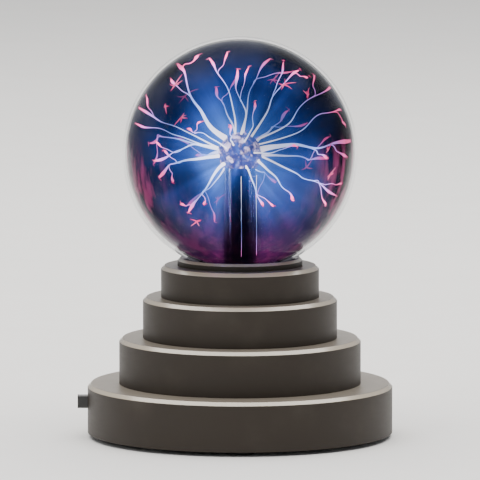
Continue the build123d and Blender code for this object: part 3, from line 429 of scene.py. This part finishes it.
def satin_black(name):
    """Satin black ABS: fine grain, polished bevels with a painted highlight, painted light on the tops, a
    trace of dust.
    """
    paint = Paint(name)
    facing = paint.apart(paint.node("ShaderNodeNewGeometry", output=1))[2]
    bevel = facing.ramp(0.45, 0.62) * facing.ramp(0.8, 0.93, 1, 0)
    ledge = facing.ramp(0.9, 0.99)
    clouds = paint.noise(45, 5)
    grain = paint.noise(5200, 3)
    flow = paint.noise(160, 4, paint.node(
        "ShaderNodeMapping", None, {"Vector": paint.place(), "Scale": (1, 1, 6)}
    ))
    # Painted light: the tier tops are painted much lighter, as if lit from above; the cloudy part is dust
    top_light_and_dust = ledge * 0.8 + clouds.ramp(0.5, 0.8) * 0.1
    top_lit_and_dusted = paint.blend(top_light_and_dust, rgb(0.025, 0.0185, 0.013), rgb(0.19, 0.165, 0.135))
    return paint.finish(
        # Painted highlight: the bevels are painted a light cream in the base colour and coat tint
        Base_Color=paint.blend(bevel * 0.9, top_lit_and_dusted, rgb(0.42, 0.38, 0.31)),
        Roughness=0.5 - bevel * 0.25 - ledge * 0.06 + (clouds - 0.5) * 0.1 + (flow - 0.5) * 0.08,
        Specular_IOR_Level=0.28,
        Coat_Weight=bevel * 0.95,
        Coat_Roughness=0.16,
        Coat_IOR=2.0,
        Coat_Tint=rgb(1.0, 0.95, 0.88),
        Normal=paint.bump(grain * (1 - bevel * 0.8), 0.00004, 0.55),
    )


dress(satin_black("housing_plastic"), "base_housing")

# ---------------------------------------------------------------------------------------------
# Globe seat: a dished collar in the same black plastic, a thin black silicone gasket under the
# glass, and white silicone adhesive that holds the neck below.
# ---------------------------------------------------------------------------------------------

dress(satin_black("collar_plastic"), "globe_collar")
dress(
    moulded("gasket_silicone", rgb(0.014, 0.014, 0.015), rgb(0.03, 0.03, 0.03), 0.5, 2600, 0.00003),
    "globe_gasket",
)
dress(
    moulded("adhesive", rgb(0.72, 0.71, 0.66), rgb(0.6, 0.58, 0.52), 0.38, 420, 0.0002),
    "neck_adhesive",
)

# ---------------------------------------------------------------------------------------------
# Glass globe: a ball of clear soda-lime glass blown on a straight neck, about 1.2 mm thick.
# The glass is very slightly wavy and shines where it curves away.
# ---------------------------------------------------------------------------------------------

globe_low, globe_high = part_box("globe_glass")
globe_radius = (globe_high.x - globe_low.x) / 2
globe_center = Vector((0, 0, globe_high.z - globe_radius))
GLASS_WALL = 0.0012


def clear_glass(name, tint, roughness, waves, bending):
    """Blown clear glass with faint ripples, which shines most where it turns away."""
    paint = Paint(name)
    ripple = paint.noise(waves, 2)
    turned_away = paint.node("ShaderNodeLayerWeight", None, {"Blend": 0.5}, output=1)
    return paint.finish(
        Base_Color=tint,
        Roughness=roughness,
        IOR=bending,
        Transmission_Weight=1.0,
        Coat_Weight=turned_away.ramp(0.5, 0.95),
        Coat_Roughness=0.03,
        Coat_IOR=1.5,
        Normal=paint.bump(ripple, 0.00004, 0.5),
    )


dress(clear_glass("globe_glass", rgb(0.98, 0.985, 1.0), 0.0, 70, 1.01), "globe_glass")

# ---------------------------------------------------------------------------------------------
# Stem: a clear glass tube sealed into the neck, blown out to a small bulb at the globe's
# centre, with the stub of the pumping tube left under the seal.
# ---------------------------------------------------------------------------------------------

dress(clear_glass("stem_glass", rgb(0.96, 0.97, 1.0), 0.02, 220, 1.42), "stem_glass", "exhaust_tip")

# ---------------------------------------------------------------------------------------------
# Electrode: a ball coated in graphite inside the bulb, on a black insulating sleeve that
# runs down the middle of the stem round the lead.
# ---------------------------------------------------------------------------------------------

paint = Paint("electrode_coating")
flakes = paint.noise(1600, 4)
dress(
    paint.finish(
        Base_Color=paint.blend(flakes.ramp(0.35, 0.7), rgb(0.03, 0.015, 0.07), rgb(0.12, 0.05, 0.22)),
        Roughness=0.5 + (flakes - 0.5) * 0.3,
        Normal=paint.bump(flakes, 0.00008, 0.7),
        # Painted glow: the graphite coating is given a faint lavender light of its own, though it is no lamp
        Emission_Color=paint.blend(flakes.ramp(0.4, 0.8), rgb(0.06, 0.015, 0.2), rgb(0.25, 0.08, 0.6)),
        Emission_Strength=0.5,
    ),
    "electrode",
)
dress(
    moulded("sleeve_plastic", rgb(0.006, 0.006, 0.008), rgb(0.015, 0.015, 0.02), 0.16, 1800, 0.00001),
    "stem_sleeve",
)

# ---------------------------------------------------------------------------------------------
# Gas filling: neon and argon at low pressure between the globe and the stem. It glows blue
# round the electrode in radial curtains, violet lower down; painted shade darkens it by the glass.
# ---------------------------------------------------------------------------------------------

BULB_WALL = 0.001
STEM_TUBE_RADIUS = 0.005
GLASS_GAP = 0.00015
GAS_GAP = 0.0003
GLOBE_STEPS = 64
BULB_STEPS = 24
GLOW_STRENGTH = 340
SKIRT_STRENGTH = 22
electrode_low, electrode_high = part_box("electrode")
bulb_radius = (electrode_high.x - electrode_low.x) / 2 + BULB_WALL
gas_radius = globe_radius - GLASS_WALL - GLASS_GAP


def turned(name, outline, steps=96):
    """A closed piece turned round the Z axis from an outline that starts and ends on it."""
    vertices = [(0, 0, outline[0][1])]
    rings = outline[1:-1]
    for radius, height in rings:
        for step in range(steps):
            angle = 2 * math.pi * step / steps
            vertices.append((radius * math.cos(angle), radius * math.sin(angle), height))
    vertices.append((0, 0, outline[-1][1]))
    last = len(vertices) - 1
    faces = []
    for step in range(steps):
        after = (step + 1) % steps
        faces.append((0, 1 + step, 1 + after))
        for ring in range(len(rings) - 1):
            here = 1 + ring * steps
            below = here + steps
            faces.append((here + step, below + step, below + after, here + after))
        faces.append((last - steps + after, last - steps + step, last))
    mesh = bpy.data.meshes.new(name)
    mesh.from_pydata(vertices, [], faces)
    mesh.shade_smooth()
    piece = bpy.data.objects.new(name, mesh)
    bpy.context.scene.collection.objects.link(piece)
    return piece


def gas_outline():
    """From the top of the gas, round inside the glass, up along the stem and over the bulb."""
    pocket = STEM_TUBE_RADIUS + GAS_GAP
    bulb = bulb_radius + GAS_GAP
    last_turn = math.pi - math.asin(pocket / gas_radius)
    points = []
    for step in range(GLOBE_STEPS + 1):
        turn = last_turn * step / GLOBE_STEPS
        points.append((gas_radius * math.sin(turn), globe_center.z + gas_radius * math.cos(turn)))
    first_turn = math.pi - math.asin(pocket / bulb)
    for step in range(BULB_STEPS + 1):
        turn = first_turn * (1 - step / BULB_STEPS)
        points.append((bulb * math.sin(turn), globe_center.z + bulb * math.cos(turn)))
    return points


gas = turned("gas_fill", gas_outline())
paint = Paint("gas_glow")
from_center = paint.node(
    "ShaderNodeVectorMath", {"operation": "SUBTRACT"}, {0: paint.place(), 1: tuple(globe_center)}
)
distance = paint.node("ShaderNodeVectorMath", {"operation": "LENGTH"}, {0: from_center}, output=1)
reach = distance / gas_radius
outward = paint.node("ShaderNodeVectorMath", {"operation": "NORMALIZE"}, {0: from_center})
across, along, rise = paint.apart(outward)
curtains = paint.noise(3.4, 3, outward, 0.6)
drift = paint.noise(1.3, 2, outward)

# Light of the gas: strongest round the electrode, in curtains that thin out towards the glass.
# The band in front of the stem is a painted shadow of the stem, and the skirt low down by the glass is
# magenta
rays = paint.noise(7.5, 4, outward, 0.62)
spread = reach.ramp(0.08, 1.0, 1, 0) ** 1.1
glow = spread * rays.ramp(0.36, 0.66, 0.15, 1.7) * curtains.ramp(0.3, 0.6, 0.3, 1.3)
sideways, backwards, _ = paint.apart(paint.place())
# Painted shadow of the stem: the gas glow and the film go dark in a band in front of the stem
painted_stem_shadow = abs(sideways).ramp(0.0035, 0.0075, 1, 0) * backwards.ramp(0, -0.003) * rise.ramp(-0.2, -0.5)
glow = glow * (1 - painted_stem_shadow * 0.92)
skirt = rise.ramp(-0.6, -1.0) * reach.ramp(0.6, 0.98)
glow_colour = paint.blend(reach.ramp(0.15, 0.7), rgb(0.13, 0.36, 1.0), rgb(0.05, 0.15, 0.75))
glow_colour = paint.blend(skirt, glow_colour, rgb(0.55, 0.05, 0.4))
light = paint.node("ShaderNodeEmission", None, {
    "Color": glow_colour,
    "Strength": glow * GLOW_STRENGTH + skirt * (1 - painted_stem_shadow) * SKIRT_STRENGTH,
})
shade = paint.node("ShaderNodeVolumeAbsorption", None, {
    "Color": rgb(0.1, 0.07, 0.16),
    "Density": 30.0,
})
depth = paint.node("ShaderNodeAddShader", None, {0: light, 1: shade})

# Painted shade: a thin dark sheet against the glass darkens the gas there, patchy; its faint glow is tinged
# magenta low down
patches = drift.ramp(0.35, 0.62)
outer = distance.ramp(gas_radius * 0.6, gas_radius * 0.9)
streaks = paint.noise(9, 3, paint.node(
    "ShaderNodeMapping", None, {"Vector": outward, "Scale": (1, 1, 0.25)}
))
low_colour = paint.blend(streaks.ramp(0.42, 0.68), rgb(0.014, 0.004, 0.022), rgb(0.1, 0.012, 0.055))
high_colour = paint.blend(patches, rgb(0.002, 0.009, 0.05), rgb(0.001, 0.0015, 0.006))
film_colour = paint.blend(rise.ramp(0.0, -0.9), high_colour, low_colour)
# Painted reflection: pink streaks on the sides of the lower half stand in for the threads reflected in the
# glass
painted_rim_reflections = abs(across).ramp(0.6, 0.85) * rise.ramp(0.25, -0.1) * streaks.ramp(0.44, 0.62)
film_colour = paint.blend(painted_rim_reflections, film_colour, rgb(0.34, 0.045, 0.15))
# The painted stem shadow darkens the film as well
film_colour = paint.blend(painted_stem_shadow * 0.9, film_colour, rgb(0.001, 0.001, 0.003))
film = paint.node("ShaderNodeBsdfPrincipled", None, {
    "Base Color": rgb(0.0, 0.0, 0.0),
    "Roughness": 1.0,
    "Specular IOR Level": 0.0,
    "Emission Color": film_colour,
    "Emission Strength": 1.0,
    "Alpha": outer * (0.68 + patches * 0.22),
})
paint.node("ShaderNodeOutputMaterial", None, {"Surface": film, "Volume": depth})
gas.data.materials.append(paint.material)
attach(gas, "base")

# ---------------------------------------------------------------------------------------------
# Glow sheath: the skin of lavender light that clings to the electrode's bulb in blotches, with
# darker violet gaps between the roots of the threads.
# ---------------------------------------------------------------------------------------------

SHEATH_GAP = 0.0004
sheath_radius = bulb_radius + GAS_GAP + SHEATH_GAP


def sheath_outline():
    """A shell round the bulb, open below where the stem tube passes."""
    points = []
    for radius, way in ((sheath_radius, 1), (sheath_radius - SHEATH_GAP / 2, -1)):
        last = math.pi - math.asin((STEM_TUBE_RADIUS + 2 * GAS_GAP) / radius)
        turns = [last * step / BULB_STEPS for step in range(BULB_STEPS + 1)][::way]
        points += [(radius * math.sin(turn), globe_center.z + radius * math.cos(turn)) for turn in turns]
    return points


sheath = turned("glow_sheath", sheath_outline())
paint = Paint("sheath_light")
from_center = paint.node(
    "ShaderNodeVectorMath", {"operation": "SUBTRACT"}, {0: paint.place(), 1: tuple(globe_center)}
)
blotches = paint.noise(330, 3, from_center)
specks = paint.noise(900, 2, from_center)
cover = blotches.ramp(0.52, 0.64) * 0.8 + specks.ramp(0.5, 0.7) * 0.2
sheath.data.materials.append(paint.finish(
    Base_Color=rgb(0.0, 0.0, 0.0),
    Roughness=1.0,
    Specular_IOR_Level=0.0,
    Emission_Color=paint.blend(cover, rgb(0.035, 0.006, 0.06), rgb(1.0, 0.8, 1.0)),
    Emission_Strength=15.0,
    Alpha=0.55 + cover * 0.4,
))
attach(sheath, "base")

# ---------------------------------------------------------------------------------------------
# Discharge: bright threads of ionised gas from the electrode to the glass. Each is white and
# thick at the bulb, thins and turns pale blue, forks, and flares pink where it meets the glass.
# ---------------------------------------------------------------------------------------------

THREAD_SIDES = 8
THREAD_STEPS = 30
FORK_STEPS = 16
THREAD_WANDER = 0.0007
FORK_WANDER = 0.0005
GLASS_CLEARANCE = 0.0005
reach_limit = gas_radius - GLASS_CLEARANCE

# Each thread: points as (across, up) in shares of the globe's radius seen from the front, the
# depth of its far end (negative is towards the front), its thickness, and its forks, each as
# (where it leaves, across, up, depth)
THREADS = [
    ([(-0.09, 0.11), (-0.235, 0.225), (-0.32, 0.37), (-0.4, 0.5), (-0.47, 0.7), (-0.53, 0.8)], -0.12, 2.2,
     [(0.5, -0.56, 0.66, -0.3), (0.72, -0.34, 0.86, -0.2)]),
    ([(-0.19, 0.06), (-0.38, 0.1), (-0.56, 0.07), (-0.7, 0.02)], -0.6, 1.0,
     [(0.55, -0.72, 0.16, -0.6)]),
    ([(-0.18, -0.01), (-0.43, -0.02), (-0.6, -0.05), (-0.68, -0.13)], -0.65, 1.3,
     [(0.6, -0.58, -0.16, -0.75), (0.42, -0.66, 0.1, -0.7)]),
    ([(-0.2, 0.06), (-0.46, 0.18), (-0.65, 0.26), (-0.89, 0.4)], 0.1, 0.6,
     [(0.7, -0.8, 0.5, -0.1)]),
    ([(-0.2, 0.04), (-0.5, 0.13), (-0.7, 0.18), (-0.93, 0.24)], 0.2, 0.5, []),
    ([(-0.09, -0.05), (-0.2, -0.11), (-0.28, -0.21), (-0.36, -0.33), (-0.45, -0.44)], -0.72, 1.5,
     [(0.6, -0.3, -0.36, -0.85), (0.75, -0.5, -0.36, -0.75)]),
    ([(0.03, -0.06), (0.09, -0.14), (0.16, -0.27), (0.2, -0.37)], -0.88, 0.7,
     [(0.6, 0.28, -0.36, -0.85)]),
    ([(0.14, -0.04), (0.29, -0.15), (0.4, -0.24), (0.48, -0.3)], -0.8, 1.0, []),
    ([(0.19, -0.02), (0.44, -0.13), (0.56, -0.19), (0.7, -0.25), (0.84, -0.33)], -0.35, 0.7,
     [(0.62, 0.72, -0.4, -0.5), (0.7, 0.86, -0.22, -0.35)]),
    ([(0.14, 0.03), (0.29, 0.065), (0.47, 0.088), (0.64, 0.08), (0.8, 0.115), (0.97, 0.15)], -0.08, 2.2,
     [(0.5, 0.76, 0.03, -0.6), (0.66, 0.93, 0.02, -0.3)]),
    ([(0.09, 0.14), (0.23, 0.36), (0.29, 0.5), (0.41, 0.65), (0.53, 0.77)], -0.3, 0.8,
     [(0.5, 0.38, 0.84, -0.3), (0.75, 0.6, 0.72, -0.3)]),
    ([(0.14, 0.12), (0.41, 0.25), (0.5, 0.39), (0.67, 0.5), (0.8, 0.56)], 0.05, 0.6,
     [(0.6, 0.62, 0.7, -0.2)]),
    ([(0.15, 0.08), (0.5, 0.18), (0.65, 0.3), (0.79, 0.36), (0.88, 0.39)], -0.15, 0.45,
     [(0.7, 0.92, 0.28, -0.2)]),
    ([(0.01, 0.17), (0.045, 0.39), (-0.01, 0.56), (-0.03, 0.78)], -0.55, 0.9, [(0.55, 0.08, 0.8, -0.5)]),
    ([(-0.04, 0.15), (-0.045, 0.34), (-0.09, 0.56), (-0.18, 0.71), (-0.26, 0.84)], -0.35, 0.7,
     [(0.6, -0.12, 0.9, -0.3)]),
    ([(-0.05, 0.08), (-0.1, 0.2), (-0.1, 0.34)], -0.92, 0.6, []),
    ([(0.03, 0.1), (0.1, 0.3), (0.14, 0.54)], -0.8, 0.6, []),
    ([(-0.1, 0.05), (-0.3, 0.2), (-0.46, 0.3)], -0.8, 0.5, [(0.6, -0.34, 0.38, -0.85)]),
    ([(0.1, 0.02), (0.3, 0.06), (0.5, 0.14)], -0.82, 0.5, []),
    ([(0.1, 0.05), (0.25, 0.18), (0.45, 0.3)], 0.85, 1.4, [(0.5, 0.6, 0.2, 0.75)]),
    ([(-0.1, 0.02), (-0.3, -0.05), (-0.4, -0.12)], 0.9, 1.6, [(0.5, -0.55, 0.05, 0.8)]),
    ([(-0.02, 0.1), (-0.1, 0.3), (-0.22, 0.5)], 0.8, 0.9, [(0.6, -0.05, 0.6, 0.75)]),
    ([(0.05, -0.08), (0.15, -0.2), (0.3, -0.35)], 0.85, 0.9, [(0.5, 0.1, -0.5, 0.8)]),
    ([(-0.05, 0.0), (-0.6, 0.1), (-0.8, 0.05)], 0.55, 0.9, [(0.6, -0.75, -0.15, 0.6)]),
    ([(0.1, -0.02), (0.5, -0.05), (0.75, -0.1)], 0.6, 1.2, [(0.6, 0.8, 0.1, 0.55)]),
    ([(0.02, 0.12), (0.1, 0.5), (0.25, 0.75)], 0.5, 0.7, [(0.6, 0.45, 0.65, 0.5)]),
    ([(-0.08, -0.06), (-0.25, -0.3), (-0.45, -0.5)], 0.65, 0.8, [(0.6, -0.2, -0.6, 0.6)]),
    ([(0.0, 0.02), (0.03, 0.05), (0.04, 0.12)], 0.98, 1.3, [(0.5, 0.2, 0.05, 0.95)]),
]

# Each painted highlight line up the stem tube, drawn as a thin line of light: its turn from the front and its
# thickness
STEM_HIGHLIGHT_LINES = [(0.06, 0.00006), (1.25, 0.00008), (2.9, 0.00006), (-2.3, 0.00007)]
STEM_HIGHLIGHT_POINTS = 5
STEM_HIGHLIGHT_DROP = 0.0065
STEM_HIGHLIGHT_CLEARANCE = 0.0003


def smooth_path(points, steps):
    """Evenly many points on a smooth line through the given ones."""
    held = [points[0] * 2 - points[1]] + points + [points[-1] * 2 - points[-2]]
    path = []
    for step in range(steps + 1):
        place = (len(points) - 1) * step / steps
        index = min(int(place), len(points) - 2)
        t = place - index
        a, b, c, d = held[index : index + 4]
        path.append(
            0.5 * (2 * b + (c - a) * t + (2 * a - 5 * b + 4 * c - d) * t**2 + (3 * b - a - 3 * c + d) * t**3)
        )
    return path


def wander(path, amount, dice):
    """Adds the slow sideways wander that a thread of gas has, more towards its far end."""
    phases = [dice.uniform(0, 2 * math.pi) for _ in range(6)]
    moved = []
    for index, point in enumerate(path):
        share = index / (len(path) - 1)
        swing = Vector([
            math.sin(6.0 * share + phases[axis])
            + 0.5 * math.sin(17 * share + phases[axis + 3])
            - math.sin(phases[axis])
            - 0.5 * math.sin(phases[axis + 3])
            for axis in range(3)
        ])
        moved.append(point + swing * amount * share)
    return moved


def kept_inside(path):
    """Keeps a path between the bulb and the glass."""
    least = sheath_radius - SHEATH_GAP * 0.6
    return [point.normalized() * min(max(point.length, least), reach_limit) for point in path]


def tube(vertices, faces, path, radii):
    """Adds one closed round tube of changing thickness along a path from the globe's centre."""
    first = len(vertices)
    side = (path[1] - path[0]).orthogonal().normalized()
    for index, (point, radius) in enumerate(zip(path, radii)):
        ahead = path[min(index + 1, len(path) - 1)] - path[max(index - 1, 0)]
        ahead.normalize()
        side = (side - ahead * side.dot(ahead)).normalized()
        other = ahead.cross(side)
        for step in range(THREAD_SIDES):
            angle = 2 * math.pi * step / THREAD_SIDES
            rim = point + (side * math.cos(angle) + other * math.sin(angle)) * radius
            vertices.append(rim + globe_center)
    for index in range(len(path) - 1):
        for step in range(THREAD_SIDES):
            after = (step + 1) % THREAD_SIDES
            here = first + index * THREAD_SIDES
            faces.append((here + step, here + after, here + THREAD_SIDES + after, here + THREAD_SIDES + step))
    end = first + (len(path) - 1) * THREAD_SIDES
    faces.append([first + step for step in reversed(range(THREAD_SIDES))])
    faces.append([end + step for step in range(THREAD_SIDES)])


def piece_from(name, vertices, faces):
    """A mesh object with smooth shading."""
    mesh = bpy.data.meshes.new(name)
    mesh.from_pydata([tuple(vertex) for vertex in vertices], [], faces)
    mesh.shade_smooth()
    piece = bpy.data.objects.new(name, mesh)
    bpy.context.scene.collection.objects.link(piece)
    return piece


def thickness_along(share, root, tip):
    """A thread is thick at its root, thins quickly, and swells to a long drop before its end."""
    swell = max(0.0, 1 - abs(share - 0.9) / 0.16) ** 1.2
    return root * (1 - share) ** 2.2 + tip * (1 + 3.2 * swell) * (1 if share < 0.99 else 0.4)


def painted_stem_highlights(dice):
    """Painted highlights: faint lines of light up the outside of the stem tube, as (path, thicknesses)."""
    lines = []
    clear = STEM_TUBE_RADIUS + GAS_GAP + STEM_HIGHLIGHT_CLEARANCE
    for turn, thickness in STEM_HIGHLIGHT_LINES:
        points = []
        for step in range(STEM_HIGHLIGHT_POINTS):
            swing = turn + dice.uniform(-0.03, 0.03)
            height = -bulb_radius - 0.0004 - step * STEM_HIGHLIGHT_DROP
            points.append(Vector((clear * math.sin(swing), -clear * math.cos(swing), height)))
        path = smooth_path(points, THREAD_STEPS)
        lines.append((path, [thickness * (1 - 0.6 * index / THREAD_STEPS) for index in range(len(path))]))
    return lines


def grow_threads():
    """Every thread and fork as (path, thicknesses), and the ends that meet the glass."""
    dice = random.Random(7)
    grown, ends = [], []
    for seen, far_depth, thickness, forks in THREADS:
        points = []
        for index, (across, up) in enumerate(seen):
            share = (index + 0.4) / (len(seen) - 0.6)
            points.append(Vector((across, far_depth * share**1.15, up)) * globe_radius)
        points[-1] = points[-1].normalized() * reach_limit
        path = kept_inside(wander(smooth_path(points, THREAD_STEPS), THREAD_WANDER, dice))
        root, tip = 0.00005 + 0.0003 * thickness**1.4, 0.00008 + 0.00004 * thickness
        shares = [index / THREAD_STEPS for index in range(THREAD_STEPS + 1)]
        grown.append((path, [thickness_along(share, root, tip) for share in shares]))
        ends.append((path, thickness))
        for leaves, across, up, depth in forks:
            start = round(THREAD_STEPS * leaves)
            far = Vector((across, depth, up)).normalized() * reach_limit
            ahead = path[start] + (path[start + 1] - path[start - 1]) * 1.5
            middle = ahead.lerp(far, 0.45)
            fork = smooth_path([path[start], ahead, middle, far], FORK_STEPS)
            fork = kept_inside(wander(fork, FORK_WANDER, dice))
            fork_root = 0.6 * thickness_along(leaves, root, tip)
            shares = [index / FORK_STEPS for index in range(FORK_STEPS + 1)]
            grown.append((fork, [thickness_along(share, fork_root * 0.5, tip * 0.8) for share in shares]))
            ends.append((fork, 0.5 * thickness))
    return grown, ends


grown, ends = grow_threads()
thread_vertices, thread_faces = [], []
# The stem lines share the threads' mesh and light: they are painted highlights on the stem, not discharge
for path, radii in grown + painted_stem_highlights(random.Random(5)):
    tube(thread_vertices, thread_faces, path, radii)
cores = piece_from("discharge_threads_and_stem_highlights", thread_vertices, thread_faces)

paint = Paint("thread_light_and_stem_highlights")
from_center = paint.node(
    "ShaderNodeVectorMath", {"operation": "SUBTRACT"}, {0: paint.place(), 1: tuple(globe_center)}
)
reach = paint.node("ShaderNodeVectorMath", {"operation": "LENGTH"}, {0: from_center}, output=1) / globe_radius
flicker = paint.noise(320, 2)
along_thread = reach + (flicker - 0.5) * 0.16
thread_colour = paint.node("ShaderNodeValToRGB", {"stops": [
    (0.2, (1.0, 0.92, 0.84)),
    (0.38, (0.7, 0.78, 1.0)),
    (0.62, (0.24, 0.38, 0.95)),
    (0.82, (0.5, 0.22, 0.72)),
    (0.92, (0.9, 0.09, 0.3)),
]}, {"Fac": along_thread})
cores.data.materials.append(paint.finish(
    Base_Color=rgb(0.0, 0.0, 0.0),
    Roughness=1.0,
    Emission_Color=thread_colour,
    Emission_Strength=20.0,
))
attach(cores, "base")

# ---------------------------------------------------------------------------------------------
# Contact marks: where a thread meets the glass it spreads into a small pink smear or star that
# creeps over the inside of the globe.
# ---------------------------------------------------------------------------------------------


MARK_STEPS = 6


def contact_mark(vertices, faces, end, size, thickness, arm_count, dice):
    """Adds one mark: a short smear on along the glass, crossed by a few thin tapering arms."""
    tip = end[-1]
    outward = tip.normalized()
    onward = tip - end[-5]
    onward = onward - outward * onward.dot(outward)
    side = (onward if onward.length > 0.0003 else outward.orthogonal()).normalized()
    other = outward.cross(side)
    arms = [(0.0, 1.5), (math.pi, 0.7)]
    for _ in range(arm_count):
        arms.append((dice.uniform(0, 2 * math.pi), dice.uniform(0.4, 1.0)))
    shares = [step / MARK_STEPS for step in range(MARK_STEPS + 1)]
    for angle, length in arms:
        heading = side * math.cos(angle) + other * math.sin(angle)
        bend = outward.cross(heading) * dice.uniform(-0.4, 0.4)
        path = []
        for share in shares:
            onto = outward * reach_limit + (heading + bend * share) * size * length * share
            path.append(onto.normalized() * reach_limit)
        tube(vertices, faces, path, [thickness * (1 - 0.85 * share**1.3) for share in shares])


# Each star, where a thread behind has spread on the glass: across, up and depth, and its size
STARS = [
    (0.39, 0.68, -1, 0.0034), (0.6, 0.58, -1, 0.0026), (-0.58, 0.66, -1, 0.0032), (-0.66, 0.48, -1, 0.002),
    (-0.52, 0.4, -1, 0.0026), (0.78, 0.1, -1, 0.0022), (0.8, -0.12, -1, 0.0024), (-0.38, -0.52, -1, 0.0024),
    (0.3, 0.6, 1, 0.0036), (-0.5, 0.45, 1, 0.0032), (0.6, -0.2, 1, 0.003), (-0.2, -0.5, 1, 0.0028),
]

END_THICKNESS = 0.00016
STAR_THICKNESS = 0.00022

dice = random.Random(19)
mark_vertices, mark_faces = [], []
for path, thickness in ends:
    size = 0.0005 + 0.0003 * thickness
    contact_mark(mark_vertices, mark_faces, path, size, END_THICKNESS, dice.randint(0, 2), dice)
for across, up, way, size in STARS:
    tip = Vector((across, way * math.sqrt(1 - across**2 - up**2), up)) * reach_limit
    approach = [tip * (0.96 + 0.01 * step) for step in range(5)]
    contact_mark(mark_vertices, mark_faces, approach, size, STAR_THICKNESS, dice.randint(3, 5), dice)
marks = piece_from("contact_marks", mark_vertices, mark_faces)
paint = Paint("contact_light")
mottle = paint.noise(500, 2)
marks.data.materials.append(paint.finish(
    Base_Color=rgb(0.0, 0.0, 0.0),
    Roughness=1.0,
    Emission_Color=paint.blend(mottle.ramp(0.35, 0.65), rgb(0.9, 0.05, 0.24), rgb(1.0, 0.2, 0.42)),
    Emission_Strength=7.0,
))
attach(marks, "base")

# ---------------------------------------------------------------------------------------------
# Studio: a pale matte floor, a broad soft light overhead, softer ones from the back and from
# the front left, and a quiet even surround. The camera stands in front, a little above the rims.
# ---------------------------------------------------------------------------------------------

FLOOR_SIZE = 16
bpy.ops.mesh.primitive_plane_add(size=FLOOR_SIZE)
floor = bpy.context.object
floor.name = "studio_floor"
paint = Paint("floor_paper")
paper = paint.noise(30, 4)
floor.data.materials.append(paint.finish(
    Base_Color=paint.blend(paper, rgb(0.78, 0.775, 0.77), rgb(0.82, 0.815, 0.81)),
    Roughness=0.85,
))

world = bpy.data.worlds.new("studio")
bpy.context.scene.world = world
world.use_nodes = True
surround = world.node_tree.nodes["Background"]
surround.inputs["Color"].default_value = rgb(0.95, 0.97, 1.0)
surround.inputs["Strength"].default_value = 0.5

# The lamps leave out the clear glass, so their reflections don't veil the light inside it
shaded_glass = bpy.data.collections.new("shaded_glass")
for name in ("globe_glass", "stem_glass"):
    shaded_glass.objects.link(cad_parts[name])
for member in shaded_glass.collection_objects:
    member.light_linking.link_state = "EXCLUDE"


def soft_light(name, place, target, size, power, colour):
    """A square soft light at a place, turned to a target and flagged off the clear glass."""
    lamp = bpy.data.lights.new(name, "AREA")
    lamp.size = size
    lamp.energy = power
    lamp.color = colour
    holder = bpy.data.objects.new(name, lamp)
    holder.location = place
    holder.rotation_euler = (Vector(target) - Vector(place)).to_track_quat("-Z", "Y").to_euler()
    holder.light_linking.receiver_collection = shaded_glass
    bpy.context.scene.collection.objects.link(holder)


soft_light("overhead_light", (0, 0.25, 1.15), (0, 0.25, 0), 2.0, 50, (1.0, 0.97, 0.92))
soft_light("back_light", (0, 3.4, 0.45), (0, 0, 0.1), 0.9, 6, (1.0, 0.97, 0.93))
soft_light("front_light", (-1.3, -1.5, 0.9), (0, 0, 0.06), 0.6, 6, (1.0, 0.98, 0.96))

CAMERA_DISTANCE = 2.4
CAMERA_RISE = 0.273
CAMERA_LENS = 560
AIM_DROP = 0.001
object_low, object_high = [Vector(corner) for corner in cad_box]
middle = Vector((0, 0, (object_low.z + object_high.z) / 2 - AIM_DROP))
camera = bpy.data.objects.new("camera", bpy.data.cameras.new("camera"))
camera.data.lens = CAMERA_LENS
camera.location = middle + Vector((0, -CAMERA_DISTANCE, CAMERA_RISE))
camera.rotation_euler = (middle - camera.location).to_track_quat("-Z", "Y").to_euler()
bpy.context.scene.collection.objects.link(camera)
bpy.context.scene.camera = camera
